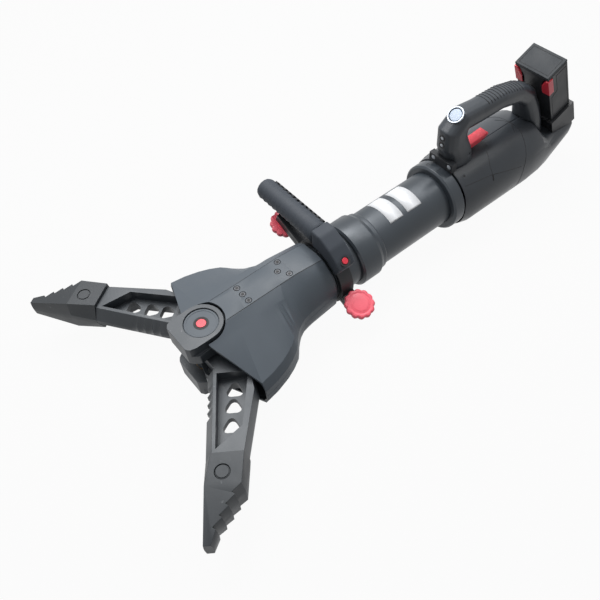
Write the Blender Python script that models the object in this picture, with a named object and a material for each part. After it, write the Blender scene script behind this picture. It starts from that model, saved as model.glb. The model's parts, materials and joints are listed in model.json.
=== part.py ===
"""Battery rescue spreader, modelled as it comes apart on a bench.

The tool lies level on its belly. X runs forward to the arm tips, Y to the left and Z up.
The origin is on the floor, at the flat head of the central bolt that both arms turn on.
Every size is in metres.
"""
import math

import bmesh
import bpy
from mathutils import Matrix, Vector

# Fits
CLEAR = 0.0003          # gap between two pieces that touch
RUN = 0.0006            # radial gap between a turning or sliding piece and its bore
AXIS_H = 0.062          # height of the barrel axis over the floor

# Arms, drawn closed along +X, then opened about the central bolt
OPEN_DEG = 55.0         # each arm's angle in the open pose
ARM_T = 0.023           # half thickness of an arm
ARM_REACH = 0.188       # bolt to the seat of the tip
TIP_REACH = 0.303       # bolt to the end of the tip
EDGE_Y = 0.001          # half of the gap between the closed arms
EDGE_LAND = 0.004       # half height of the flat land along an arm's edge
DRAFT_IN = 0.011        # lean of the inner flank, from the land to the face
DRAFT_OUT = 0.004       # lean of the outer flank
ROOT_W = 0.074          # width of an arm where it leaves the cover
ROOT_X = 0.094
SEAT_W = 0.0585         # width of an arm at the tip
HEEL = (0.047, 0.066)   # outer corner of an arm's root
HUB_R = 0.027
RELIEF_R = 0.057        # room that an arm leaves round the other arm's hub and lever
LAP_GAP = 0.0006        # half of the gap between the two stacked hubs
BOLT_R = 0.013
BOLT_HEAD_R = 0.022     # the bolt's head, flush with the belly
BOLT_HEAD_T = 0.008
LEVER_R = 0.042         # bolt to lever pin
LEVER_EYE = 0.011
LEVER_T = 0.0115        # top of the lever, half of the hub's height
RIDGE_PITCH = 0.013
RIDGE_DEPTH = 0.0035
RIDGE_COUNT = 4
RIDGE_START = 0.078
POCKET_DEPTH = 0.018
POCKET_FROM = 0.064
POCKET_IN_END = 0.180   # the pocket's slanting end, at the inner rail
POCKET_OUT_END = 0.148  # and at the outer rail
INNER_RAIL = 0.005
OUTER_RAIL = 0.008
HOLE_SIZE = 0.0125      # half length of a lightening hole
HOLES_X = (0.084, 0.110, 0.140)

# Tips
TIP_T = 0.029           # half thickness at the seat
TIP_FLAT = 0.045        # seat to the step where the tip's faces start to slope
TIP_END_T = 0.014       # half thickness at the end
TIP_END_W = 0.013
TIP_LIP = 0.0015        # tip outside the arm at the seat
TIP_DRAFT = 0.002       # lean of the toothed flank
TENON_L = 0.040
TENON_T = 0.010
TENON_LOW = 0.010
TENON_HIGH = 0.045
LOCK_SET = 0.027        # seat to the lock
LOCK_Y = 0.0275
LOCK_R = 0.010
LOCK_SHOULDER = 0.0013
TEETH = 4
TOOTH_DEPTH = 0.005
TEETH_SET = 0.045       # seat to the first tooth
TEETH_WIDE = 0.054      # tip's width at the first tooth
TEETH_BACK = 0.017      # end of the tip to the last tooth
TEETH_SLIM = 0.020      # tip's width at the last tooth

# Linkage
PIN_R = 0.006
LINK_L = 0.105
LINK_W = 0.0085         # half width of a link
LINK_EYE = 0.012
LINK_LOW = 0.0122
LINK_HIGH = 0.0226
LOOP_PLAY = 0.003       # room in the link's rear eye, where the closed loop is left open
HEAD_L = 0.026          # crosshead, along X
HEAD_W = 0.021          # half width of its middle block
HEAD_T = 0.020
EAR_T = 0.0117

# Yoke
PLATE_LOW = 0.0255
PLATE_TOP = 0.044
NOSE_TOP = 0.060
NOSE_X = 0.043
NOSE_W = 0.030          # half width of the nose's front face
NOSE_FLANK_W = 0.033
PLATE_W = 0.040
RIB_W = 0.020
NECK_FRONT = -0.150
NECK_REAR = -0.2135
NECK_R = 0.044

# Cover
COVER_TOP = 0.062
WALL = 0.0035
SPINE_W = 0.022
BAND_W = 0.042          # half width where the band beside the spine meets the wing panel
BAND_TOP = 0.052
WING_EDGE = 0.027       # height of the wing panel's outer edge
SKIRT_TOP = 0.012
WING_W = 0.127          # half width across the skirts
EDGE_BEVEL = 0.007      # skirt outside the panel's edge
WAIST_X = -0.155        # behind here the cover's back slopes down to the neck
COVER_REAR = -0.205
COVER_REAR_W = 0.054
WAIST_W = 0.061
SKIRT_TURN_X = -0.120   # behind here the skirt runs along the waist
SKIRT_LINE = (          # X, and how far the skirt is drawn in there from the full width
    (-0.016, 0.0),
    (-0.038, 0.0035),
    (-0.060, 0.010),
    (-0.076, 0.017),
    (-0.091, 0.026),
    (-0.0975, 0.033),
    (-0.104, 0.041),
    (-0.111, 0.048),
    (-0.118, 0.054),
    (-0.126, 0.0585),
    (-0.134, 0.062),
    (-0.145, 0.0645),
)
NOTCH_R = 0.036
WING_FRONT_IN = 0.012   # X of the wing's front edge at the nose
WING_FRONT_OUT = -0.015
SCREW_HEAD_R = 0.005
SCREW_HEAD_H = 0.0022
SCREW_SUNK = 0.0026     # depth of the counterbore
SCREW_R = 0.003
SCREW_L = 0.014
SCREW_ROWS = ((-0.074, -0.074, 0.015), (-0.149, -0.138, 0.015))

# Cap over the central bolt
CAP_R = 0.026
CAP_SEAT = 0.006        # depth of the recess that the cap lies in
CAP_SUNK = 0.002        # cap under the nose's top face
CAP_DOT_R = 0.0075

# Barrel
TUBE_R = 0.048
BORE_R = 0.037
BARREL_L = 0.250        # length of the cylinder tube
RING_FRONT = -0.2055
RING_REAR = -0.2130
RING_R = 0.050
SLEEVE_FRONT = -0.262
SLEEVE_R = 0.0555
SLEEVE_L = 0.052
ROD_R = 0.016
GLAND_FRONT = -0.232
GLAND_L = 0.058
PISTON_L = 0.030
PISTON_GAP = 0.004      # piston to gland with the arms open
PLUG_SET = 0.0435       # plug inside the tube's rear end
PLUG_L = 0.045
COLLAR_R = 0.060
COLLAR_L = 0.0185       # collar behind the tube
COLLAR_LAP = 0.006      # collar over the tube

# Carrying handle
CLAMP_X = -0.226        # middle of the clamp, along the barrel
CLAMP_L = 0.024
CLAMP_R = 0.056
EAR_DEG = -22.0         # where the clamp's near ears lie, from +Y towards +Z
EAR_TALL = 0.008
EAR_W = 0.011           # half width of an ear, along the barrel
NEAR_KNOB_AT = 0.082    # barrel axis to the near bolt
FAR_KNOB_AT = 0.104
KNOB_R = 0.0235
KNOB_LOBE = 0.002
KNOB_LOBES = 12
KNOB_T = 0.014
STUD_R = 0.0048
GRIP_Z = 0.074          # grip over the barrel axis
GRIP_FROM = -0.0085
GRIP_L = 0.140
GRIP_R = 0.018
GRIP_RIBS = 11
GRIP_RIB_DEPTH = 0.0014
BRACKET_W = 0.0165      # half width of the bracket, along the barrel
BUTTON_R = 0.005
BUTTON_DEG = 50.0       # where the button lies, from +Y towards +Z
BUTTON_FACE = 0.0812    # barrel axis to the button's face
BUTTON_TRAVEL = 0.0025

# Rear housing; its flat belly lies on the floor
HOUSING_WALL = 0.0035
HOUSING_R = 0.064
HOUSING_TOP = 0.058     # over the barrel axis, under the handle
PUMP_L = 0.080          # from the tube's rear end, through the collar
MOTOR_R = 0.040
MOTOR_L = 0.098
BOARD_L = 0.036
BOARD_W = 0.034
BOARD_T = 0.0016

# Rear handle; places along the barrel are measured back from the housing's front
HANDLE_LINE = (         # back, height over the axis, half width, half thickness
    (0.0297, 0.040, 0.024, 0.030),
    (0.0267, 0.075, 0.022, 0.026),
    (0.0167, 0.100, 0.021, 0.025),
    (0.0157, 0.122, 0.021, 0.025),
    (0.0307, 0.137, 0.020, 0.020),
    (0.0657, 0.133, 0.019, 0.0185),
    (0.1187, 0.131, 0.019, 0.0175),
    (0.1627, 0.119, 0.019, 0.0175),
    (0.1857, 0.103, 0.020, 0.018),
    (0.1987, 0.075, 0.023, 0.0185),
    (0.2077, 0.045, 0.027, 0.018),
    (0.2157, 0.012, 0.027, 0.018),
)
POWER_R = 0.011
POWER_BACK = 0.0187
POWER_Z = 0.150
POWER_TILT = 35.0       # the power button leans forward from straight up
POWER_TRAVEL = 0.002
TRIGGER_BACK = 0.0397
TRIGGER_Z = 0.071
TRIGGER_PIN_R = 0.0025
TRIGGER_PIN_L = 0.028
TRIGGER_L = 0.056
TRIGGER_HALF = 0.0095
LAMP_AHEAD = 0.0073     # lamp face in front of the housing
LAMP_Y = 0.0175
LAMP_Z = 0.0685
LAMP_R = 0.005

# Battery, standing in a dock that leans forward
BATTERY_BACK = 0.2347   # battery's foot behind the housing's front
BATTERY_Z = 0.040
BATTERY_LEAN = 21.0
BATTERY_D = 0.046
BATTERY_W = 0.0345      # half width
BATTERY_H = 0.112
LID_H = 0.005
DOCK_H = 0.050
DOCK_SEAT = 0.016       # height of the housing under the dock, over the barrel axis
DOCK_OVER = 0.005       # dock outside the battery's own outline
LATCH_BELOW = 0.003     # latch under the case's top
LATCH_H = 0.034
LATCH_W = 0.016         # latch across the battery's front
LATCH_D = 0.010         # latch along the battery's side
LATCH_EDGE = 0.0035     # thickness at its rear end
LATCH_TOP_W = 0.006     # width left at its top
LATCH_PROUD = 0.0015    # latch outside the case's faces
LATCH_TRAVEL = 0.003


def clear_scene():
    for obj in list(bpy.data.objects):
        bpy.data.objects.remove(obj, do_unlink=True)


def finish(name, colour, roughness, metallic=0.0):
    """One Principled material, named for its finish."""
    material = bpy.data.materials.new(name)
    material.use_nodes = True
    shader = material.node_tree.nodes["Principled BSDF"]
    shader.inputs["Base Color"].default_value = (*colour, 1.0)
    shader.inputs["Roughness"].default_value = roughness
    shader.inputs["Metallic"].default_value = metallic
    material.diffuse_color = (*colour, 1.0)
    return material


def empty(name, location=(0, 0, 0), rotation=(0, 0, 0), parent=None):
    obj = bpy.data.objects.new(name, None)
    bpy.context.collection.objects.link(obj)
    obj.location = location
    obj.rotation_euler = rotation
    obj.parent = parent
    return obj


def solid(name, bm, material=None, parent=None):
    """Turn a bmesh into a named object."""
    bmesh.ops.recalc_face_normals(bm, faces=bm.faces)
    mesh = bpy.data.meshes.new(name)
    bm.to_mesh(mesh)
    bm.free()
    obj = bpy.data.objects.new(name, mesh)
    bpy.context.collection.objects.link(obj)
    obj.parent = parent
    if material:
        mesh.materials.append(material)
    return obj


def combine(obj, tool, operation="DIFFERENCE"):
    """Cut or join one object with another, both in the same frame, and drop the tool."""
    tool.parent = obj.parent
    modifier = obj.modifiers.new("combine", "BOOLEAN")
    modifier.operation = operation
    modifier.solver = "EXACT"
    modifier.object = tool
    bpy.context.view_layer.update()
    graph = bpy.context.evaluated_depsgraph_get()
    result = bpy.data.meshes.new_from_object(obj.evaluated_get(graph))
    obj.modifiers.remove(modifier)
    obj.data = result
    bpy.data.objects.remove(tool, do_unlink=True)
    return obj


def cut(obj, *shapes):
    for shape in shapes:
        combine(obj, solid("cutter", shape))
    return obj


def join(obj, *shapes):
    for shape in shapes:
        combine(obj, solid("addition", shape), "UNION")
    return obj


def smooth(obj, degrees=35.0):
    obj.data.shade_smooth()
    obj.data.set_sharp_from_angle(angle=math.radians(degrees))
    return obj


def skin(rings, closed=False, fold=None):
    """A closed body through rings of points; a closed chain of rings makes a hoop.

    A fold names the two points of a ring between which both end faces are bent.
    """
    bm = bmesh.new()
    loops = [[bm.verts.new(point) for point in ring] for ring in rings]
    pairs = list(zip(loops, loops[1:]))
    if closed:
        pairs.append((loops[-1], loops[0]))
    for first, second in pairs:
        count = len(first)
        for i in range(count):
            j = (i + 1) % count
            bm.faces.new((first[i], first[j], second[j], second[i]))
    if not closed:
        for loop in (loops[0], loops[-1]):
            first, second = fold or (0, len(loop) - 1)
            bm.faces.new(loop[first:second + 1])
            if fold:
                bm.faces.new(loop[second:] + loop[:first + 1])
    bmesh.ops.recalc_face_normals(bm, faces=bm.faces)
    return bm


def moved(bm, matrix):
    bmesh.ops.transform(bm, matrix=matrix, verts=bm.verts)
    return bm


def arc(radius, start, stop, steps, centre=(0, 0)):
    """Points along an arc, in degrees, with both ends."""
    points = []
    for i in range(steps + 1):
        angle = math.radians(start + (stop - start) * i / steps)
        points.append((centre[0] + radius * math.cos(angle), centre[1] + radius * math.sin(angle)))
    return points


def circle(radius, steps, centre=(0, 0)):
    return arc(radius, 0, 360 - 360 / steps, steps - 1, centre)


def prism(outline, low, high):
    """An outline in X and Y, raised between two heights; a height may follow X."""
    low_at = low if callable(low) else (lambda x: low)
    high_at = high if callable(high) else (lambda x: high)
    bottom = [(x, y, low_at(x)) for x, y in outline]
    top = [(x, y, high_at(x)) for x, y in outline]
    return skin([bottom, top])


def block(low, high):
    outline = [(low[0], low[1]), (high[0], low[1]), (high[0], high[1]), (low[0], high[1])]
    return prism(outline, low[2], high[2])


def post(radius, low, high, at=(0, 0), steps=20):
    return prism(circle(radius, steps, at), low, high)


UPRIGHT = Matrix.Rotation(math.radians(-90), 4, "Y")    # stands a turned piece on its end
ON_SIDE = Matrix(((1, 0, 0, 0), (0, 0, 1, 0), (0, 1, 0, 0), (0, 0, 0, 1)))  # swaps Y and Z


def turned(profile, steps=28):
    """A solid of revolution about the barrel, from stations of X and radius."""
    rings = []
    for x, radius in profile:
        rings.append([(x, y, z) for y, z in circle(radius, steps)])
    return skin(rings)


def hoop(profile, steps=28):
    """A hollow turned piece: a closed profile of X and radius carried round the barrel."""
    rings = []
    for i in range(steps):
        angle = 2 * math.pi * i / steps
        rings.append([(x, r * math.cos(angle), r * math.sin(angle)) for x, r in profile])
    return skin(rings, closed=True)


def pipe(front, rear, outer, inner, steps=28):
    return hoop([(front, inner), (front, outer), (rear, outer), (rear, inner)], steps)


def frame_on(origin, axis, across=(0, 0, 1)):
    """A matrix whose Z follows an axis, for pieces that are drawn upright."""
    z = Vector(axis).normalized()
    x = Vector(across).cross(z)
    if x.length < 0.01:
        x = Vector((1, 0, 0)).cross(z)
    x.normalize()
    y = z.cross(x)
    matrix = Matrix((x, y, z)).transposed().to_4x4()
    matrix.translation = Vector(origin)
    return matrix


# The lever pins, at rest and closed, and what follows from them
HALF_SWING = math.radians(OPEN_DEG / 2)
LEVER_X = LEVER_R * math.sin(HALF_SWING)
LEVER_Y = LEVER_R * math.cos(HALF_SWING)
HEAD_PIN_Y = (LEVER_Y + LEVER_R) / 2
HEAD_X = LEVER_X - LINK_L
PISTON_FRONT = GLAND_FRONT - GLAND_L - PISTON_GAP
TUBE_REAR = NECK_REAR - BARREL_L
PLUG_FRONT = TUBE_REAR + PLUG_SET + PLUG_L
COLLAR_REAR = TUBE_REAR - COLLAR_L
HOUSING_FRONT = COLLAR_REAR - CLEAR
POWER_AT = (HOUSING_FRONT - POWER_BACK, POWER_Z)
TRIGGER_PIN = (HOUSING_FRONT - TRIGGER_BACK, TRIGGER_Z)
TIP_STEP = ARM_REACH + TIP_FLAT
LOCK_X = ARM_REACH + LOCK_SET
TEETH_FROM = (ARM_REACH + TEETH_SET, TEETH_WIDE)
TEETH_TO = (TIP_REACH - TEETH_BACK, TEETH_SLIM)
LAMP_X = HOUSING_FRONT + LAMP_AHEAD
BATTERY_FOOT = (HOUSING_FRONT - BATTERY_BACK, BATTERY_Z)
EAR_OUT = Vector((0, math.cos(math.radians(EAR_DEG)), math.sin(math.radians(EAR_DEG))))
EAR_UP = Vector((0, -EAR_OUT.z, EAR_OUT.y))


def hull(first, first_r, second, second_r, steps=12):
    """The outline round two circles of a lever or link."""
    dx = second[0] - first[0]
    dy = second[1] - first[1]
    turn = math.degrees(math.atan2(dy, dx))
    lean = math.degrees(math.acos((first_r - second_r) / math.hypot(dx, dy)))
    outline = arc(second_r, turn - lean, turn + lean, steps, second)
    outline += arc(first_r, turn + lean, turn + 360 - lean, steps, first)
    return outline


def ridged_edge():
    """The inner edge of an arm, from the root to the tip, with its crimping grooves."""
    points = [(RELIEF_R, EDGE_Y)]
    for i in range(RIDGE_COUNT):
        x = RIDGE_START + i * RIDGE_PITCH
        points.append((x, EDGE_Y))
        points.append((x + 0.25 * RIDGE_PITCH, EDGE_Y + RIDGE_DEPTH))
        points.append((x + 0.55 * RIDGE_PITCH, EDGE_Y + RIDGE_DEPTH))
    points.append((RIDGE_START + RIDGE_COUNT * RIDGE_PITCH, EDGE_Y))
    points.append((ARM_REACH, EDGE_Y))
    return points


def outer_edge_y(x):
    """The arm's outer edge between the cover and the tip."""
    share = (x - ROOT_X) / (ARM_REACH - ROOT_X)
    return ROOT_W + (SEAT_W - ROOT_W) * share


def rounded_triangle(x, y, size):
    outline = []
    for k in range(3):
        turn = 180 + 120 * k
        corner = arc(0.5 * size, turn, turn, 1)[0]
        outline += arc(0.5 * size, turn - 60, turn + 60, 4, (x + corner[0], y + corner[1]))
    return outline


def arm_shape(name, material, parent):
    """One arm with its half-height hub and driving lever, closed along +X."""
    shoulder = 43.0
    face_in = EDGE_Y + DRAFT_IN
    edge = ridged_edge()
    outer = [(ARM_REACH, SEAT_W), (ROOT_X, ROOT_W), HEEL]
    back = arc(RELIEF_R, shoulder, 14.0, 7)
    land = edge + outer + back
    face = [(x, face_in) for x, y in edge] + [(x, y - DRAFT_OUT) for x, y in outer] + back
    levels = ((face, -ARM_T), (land, -EDGE_LAND), (land, EDGE_LAND), (face, ARM_T))
    rings = [[(x, y, z) for x, y in outline] for outline, z in levels]
    arm = solid(name, skin(rings), material, parent)
    neck = arc(HUB_R, 60, 345, 16) + arc(RELIEF_R + 0.004, 15, shoulder - 3, 6)
    lever = hull((0, 0), 0.020, (-LEVER_X, -LEVER_Y), LEVER_EYE)
    tenon_low = (ARM_REACH - 0.004, TENON_LOW, -TENON_T)
    tenon_high = (ARM_REACH + TENON_L, TENON_HIGH, TENON_T)
    join(arm, prism(neck, LAP_GAP, ARM_T), prism(lever, LAP_GAP, LEVER_T), block(tenon_low, tenon_high))
    inner = face_in + INNER_RAIL
    rail = DRAFT_OUT + OUTER_RAIL
    pocket = [(POCKET_FROM, inner), (POCKET_IN_END, inner)]
    pocket += [(POCKET_OUT_END, outer_edge_y(POCKET_OUT_END) - rail), (POCKET_FROM, ROOT_W - rail)]
    cut(arm, prism(pocket, ARM_T - POCKET_DEPTH, ARM_T + 0.01))
    cut(arm, prism(pocket, -ARM_T - 0.01, POCKET_DEPTH - ARM_T))
    for x in HOLES_X:
        middle = (inner + outer_edge_y(x) - rail) / 2
        cut(arm, prism(rounded_triangle(x, middle, HOLE_SIZE), -ARM_T, ARM_T))
    cut(arm, post(BOLT_R + RUN, -ARM_T - 0.01, ARM_T + 0.01))
    cut(arm, post(PIN_R + CLEAR, -0.01, ARM_T + 0.01, (-LEVER_X, -LEVER_Y)))
    cut(arm, post(LOCK_R + RUN, -ARM_T, ARM_T, (LOCK_X, LOCK_Y)))
    return smooth(arm)


def tip_shape(name, material, parent):
    """The exchangeable steel tip: a wedge with outer teeth and a socket for the arm's tenon."""
    back = ARM_REACH + CLEAR
    seat_w = SEAT_W + TIP_LIP
    run = (Vector(TEETH_FROM) - Vector(TEETH_TO)) / TEETH
    inward = Vector((-run.y, run.x)).normalized()
    land = [(back, EDGE_Y), (TIP_STEP, EDGE_Y), (TIP_REACH, EDGE_Y), (TIP_REACH, EDGE_Y + TIP_END_W)]
    face = [(back, EDGE_Y + DRAFT_IN), (TIP_STEP, EDGE_Y + 0.3 * DRAFT_IN)]
    face += [(TIP_REACH, EDGE_Y + 0.1 * DRAFT_IN), (TIP_REACH, EDGE_Y + TIP_END_W - TIP_DRAFT)]
    for i in range(TEETH):
        crest = Vector(TEETH_TO) + run * i
        foot = crest + inward * TIP_DRAFT
        land += [tuple(crest), tuple(crest + inward * TOOTH_DEPTH)]
        face += [tuple(foot), tuple(foot + inward * TOOTH_DEPTH)]
    land += [TEETH_FROM, (back, seat_w)]
    face += [tuple(Vector(TEETH_FROM) + inward * TIP_DRAFT), (back, seat_w - DRAFT_OUT)]
    slope = (TIP_T - TIP_END_T) / (TIP_REACH - TIP_STEP)

    def half(x):
        return TIP_T - slope * max(x - TIP_STEP, 0.0)

    low_face = [(x, y, -half(x)) for x, y in face]
    low_land = [(x, y, -EDGE_LAND) for x, y in land]
    high_land = [(x, y, EDGE_LAND) for x, y in land]
    high_face = [(x, y, half(x)) for x, y in face]
    rings = [low_face, low_land, high_land, high_face]
    tip = solid(name, skin(rings, fold=(1, len(face) - 2)), material, parent)
    socket_low = (back - 0.01, TENON_LOW - CLEAR, -TENON_T - CLEAR)
    socket_high = (ARM_REACH + TENON_L + CLEAR, TENON_HIGH + CLEAR, TENON_T + CLEAR)
    cut(tip, block(socket_low, socket_high))
    cut(tip, post(LOCK_R + RUN, -TIP_T, TIP_T, (LOCK_X, LOCK_Y)))
    return smooth(tip)


def lock_shape(name, material, parent):
    """The spring button through the tip and the tenon, flush with both faces of the tip."""
    neck = TIP_T - LOCK_SHOULDER
    profile = [(-TIP_T, LOCK_R), (neck, LOCK_R), (neck, LOCK_R - LOCK_SHOULDER)]
    profile += [(TIP_T, LOCK_R - LOCK_SHOULDER)]
    return smooth(solid(name, moved(turned(profile, 20), UPRIGHT), material, parent))


def link_shape(name, material, parent, low, high):
    """A flat link from the lever pin back to the crosshead, lying along the barrel."""
    rear_eye = LINK_EYE + LOOP_PLAY / 2
    front_turn = math.degrees(math.asin(LINK_W / LINK_EYE))
    rear_turn = math.degrees(math.asin(LINK_W / rear_eye))
    outline = arc(LINK_EYE, front_turn - 180, 180 - front_turn, 10)
    outline += arc(rear_eye, rear_turn, 360 - rear_turn, 10, (-LINK_L, 0))
    link = solid(name, prism(outline, low, high), material, parent)
    cut(link, post(PIN_R + RUN, -ARM_T, ARM_T))
    cut(link, post(PIN_R + LOOP_PLAY, -ARM_T, ARM_T, (-LINK_L, 0)))
    return smooth(link)


def arms(root, paint):
    """Both arms, their tips, lock buttons, lever pins and links."""
    for side, sign in (("left", 1), ("right", -1)):
        upside = math.pi if sign < 0 else 0.0
        axle = empty(side + "_arm_axis", (0, 0, 0), (0, 0, sign * math.radians(OPEN_DEG)), root)
        flip = empty(side + "_arm_flip", (0, 0, 0), (upside, 0, 0), axle)
        arm_shape(side + "_arm", paint["forged"], flip)
        tip_shape(side + "_tip", paint["tip"], flip)
        at_lock = empty(side + "_lock_axis", (LOCK_X, sign * LOCK_Y, 0), (0, 0, 0), axle)
        lock_shape(side + "_tip_lock", paint["lock"], at_lock)
        pin = post(PIN_R, LAP_GAP + 0.0005, LINK_HIGH, (-LEVER_X, -LEVER_Y))
        smooth(solid(side + "_lever_pin", pin, paint["steel"], flip))
        at_pin = empty(side + "_link_axis", (LEVER_X, -sign * LEVER_Y, 0), (0, 0, 0), root)
        low, high = (LINK_LOW, LINK_HIGH) if sign > 0 else (-LINK_HIGH, -LINK_LOW)
        link_shape(side + "_link", paint["steel"], at_pin, low, high)


def drive(root, paint):
    """Crosshead, rod, piston and seal, which slide together along the barrel."""
    slide = empty("piston_axis", (HEAD_X, 0, 0), (0, 0, 0), root)
    half = HEAD_L / 2
    reach = HEAD_PIN_Y + LINK_EYE
    body = block((-half, -HEAD_W, -HEAD_T), (half, HEAD_W, HEAD_T))
    head = solid("crosshead", body, paint["steel"], slide)
    join(head, block((-half + 0.001, -reach, -EAR_T), (half - 0.001, reach, EAR_T)))
    for side, sign in (("left", 1), ("right", -1)):
        place = (0, sign * HEAD_PIN_Y)
        cut(head, post(PIN_R + CLEAR, -HEAD_T - 0.01, HEAD_T + 0.01, place))
        low, high = (-LINK_HIGH, EAR_T) if sign > 0 else (-EAR_T, LINK_HIGH)
        smooth(solid(side + "_crosshead_pin", post(PIN_R, low, high, place), paint["steel"], slide))
    smooth(head)
    rod_front = -half - CLEAR
    piston_front = PISTON_FRONT - HEAD_X
    rod = turned([(rod_front, ROD_R), (piston_front + CLEAR, ROD_R)], 24)
    smooth(solid("piston_rod", rod, paint["chrome"], slide))
    groove = 0.010
    seat_r = BORE_R - 0.005
    profile = [(piston_front, BORE_R - RUN), (piston_front - groove, BORE_R - RUN)]
    profile += [(piston_front - groove, seat_r), (piston_front - 2 * groove, seat_r)]
    profile += [(piston_front - 2 * groove, BORE_R - RUN), (piston_front - PISTON_L, BORE_R - RUN)]
    smooth(solid("piston", turned(profile), paint["steel"], slide))
    seal_front = piston_front - groove - CLEAR
    seal_rear = piston_front - 2 * groove + CLEAR
    seal = pipe(seal_front, seal_rear, BORE_R - CLEAR, seat_r + CLEAR)
    smooth(solid("piston_seal", seal, paint["rubber"], slide))


def yoke_outline():
    half = [(NOSE_X, NOSE_W - 0.006), (NOSE_X - 0.004, NOSE_W), (NOSE_X - 0.014, NOSE_FLANK_W + 0.004)]
    half += [(WING_FRONT_IN, PLATE_W - 0.004), (-0.030, PLATE_W), (NECK_FRONT + 0.040, PLATE_W)]
    half += [(NECK_FRONT - 0.010, PLATE_W - 0.008)]
    return half + [(x, -y) for x, y in reversed(half)]


def nose_outline():
    half = [(NOSE_X, NOSE_W - 0.006), (NOSE_X - 0.004, NOSE_W), (NOSE_X - 0.014, NOSE_FLANK_W)]
    back = arc(NOSE_FLANK_W, 90, 270, 16)
    return half + back + [(x, -y) for x, y in reversed(half)]


def yoke(root, paint):
    """The forged fork: two plates that carry the bolt, and the neck that holds the cylinder."""
    neck = turned([(NECK_FRONT, NECK_R), (NECK_REAR, NECK_R)])
    fork = solid("yoke", neck, paint["cast"], root)
    rib_rear = WAIST_X + 0.001
    rib = [(-NOTCH_R - 0.003, -RIB_W), (-NOTCH_R - 0.003, RIB_W), (rib_rear, RIB_W), (rib_rear, -RIB_W)]
    rib_top = COVER_TOP - WALL - CLEAR
    for low, high in ((PLATE_LOW, PLATE_TOP), (-PLATE_TOP, -PLATE_LOW)):
        join(fork, prism(yoke_outline(), low, high))
    for sign in (1, -1):
        nose = sorted((sign * (PLATE_TOP - 0.004), sign * NOSE_TOP))
        ridge = sorted((sign * (PLATE_TOP - 0.004), sign * rib_top))
        join(fork, prism(nose_outline(), *nose), prism(rib, *ridge))
    high = NOSE_TOP + 0.02
    cut(fork, post(BOLT_R + CLEAR, -high, high))
    cut(fork, post(CAP_R + CLEAR, NOSE_TOP - CAP_SEAT, high, steps=28))
    cut(fork, post(BOLT_HEAD_R + CLEAR, -high, BOLT_HEAD_T + CLEAR - AXIS_H))
    cut(fork, turned([(NECK_FRONT + 0.01, ROD_R + RUN), (NECK_REAR - 0.01, ROD_R + RUN)], 24))
    holes = bmesh.new()
    for x, y in screw_places():
        bmesh.ops.create_cone(holes, cap_ends=True, segments=10, radius1=SCREW_R + CLEAR,
                              radius2=SCREW_R + CLEAR, depth=2 * (SCREW_L + SCREW_SUNK),
                              matrix=Matrix.Translation((x, y, COVER_TOP)))
    cut(fork, holes)
    smooth(fork)
    head_top = BOLT_HEAD_T - AXIS_H
    bolt = turned([(-AXIS_H, BOLT_HEAD_R), (head_top, BOLT_HEAD_R), (head_top, BOLT_R),
                   (NOSE_TOP - CAP_SEAT - CLEAR, BOLT_R)], 24)
    smooth(solid("pivot_bolt", moved(bolt, UPRIGHT), paint["steel"], root))
    thickness = PLATE_LOW - ARM_T - 2 * CLEAR
    for name, low in (("upper_washer", ARM_T + CLEAR), ("lower_washer", CLEAR - PLATE_LOW)):
        ring = moved(pipe(low, low + thickness, HUB_R, BOLT_R + CLEAR, 20), UPRIGHT)
        smooth(solid(name, ring, paint["brass"], root))


def caps(root, paint):
    """The cap that closes the bolt on top, with the red dot in its middle."""
    low = NOSE_TOP - CAP_SEAT + CLEAR
    top = NOSE_TOP - CAP_SUNK
    cap = solid("pivot_cap", post(CAP_R, low, top, steps=28), paint["grey"], root)
    cut(cap, post(CAP_DOT_R + CLEAR, low + 0.001, top + 0.01))
    smooth(cap)
    smooth(solid("cap_dot", post(CAP_DOT_R, low + 0.001 + CLEAR, top + 0.0006), paint["red"], root))


def screw_places():
    places = []
    for side_x, middle_x, spread in SCREW_ROWS:
        places += [(side_x, -spread), (middle_x, 0.0), (side_x, spread)]
    return places


def cover_section(x, skirt, edge, band, spine, heights, inset):
    """One ring of the cover, over the parting plane; inset gives the inside of its wall."""
    top, band_top, edge_top, skirt_top = heights
    floor_z = -0.01 if inset else CLEAR / 2
    half = [(skirt - inset, floor_z), (skirt - inset, skirt_top - 0.3 * inset)]
    half += [(edge - inset, edge_top - inset), (band - 0.4 * inset, band_top - inset)]
    half += [(spine - 0.2 * inset, top - inset)]
    ring = half + [(-y, z) for y, z in reversed(half)]
    return [(x, y, z) for y, z in ring]


def cover_rings(inset):
    """The cover's rings from the wings back to the neck."""
    wide = (COVER_TOP, BAND_TOP, WING_EDGE, SKIRT_TOP)
    waist = (COVER_TOP, BAND_TOP - 0.002, WING_EDGE + 0.001, SKIRT_TOP)
    rear = (COVER_TOP - 0.006, 0.044, WING_EDGE - 0.001, SKIRT_TOP - 0.002)
    rows = [(0.020, WING_W, BAND_W, wide)]
    for x, drawn_in in SKIRT_LINE:
        behind = x < SKIRT_TURN_X
        rows.append((x, WING_W - drawn_in, BAND_W - (0.002 if behind else 0.0), waist if behind else wide))
    rows.append((WAIST_X, WAIST_W, BAND_W - 0.003, waist))
    rows.append((COVER_REAR, COVER_REAR_W, BAND_W - 0.004, rear))
    rings = []
    for i, (x, skirt, band, heights) in enumerate(rows):
        if inset and i in (0, len(rows) - 1):
            x += 0.02 if i == 0 else -0.02
        bevel = EDGE_BEVEL if skirt > COVER_REAR_W else 0.5 * EDGE_BEVEL
        rings.append(cover_section(x, skirt, skirt - bevel, band, SPINE_W, heights, inset))
    return rings


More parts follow.
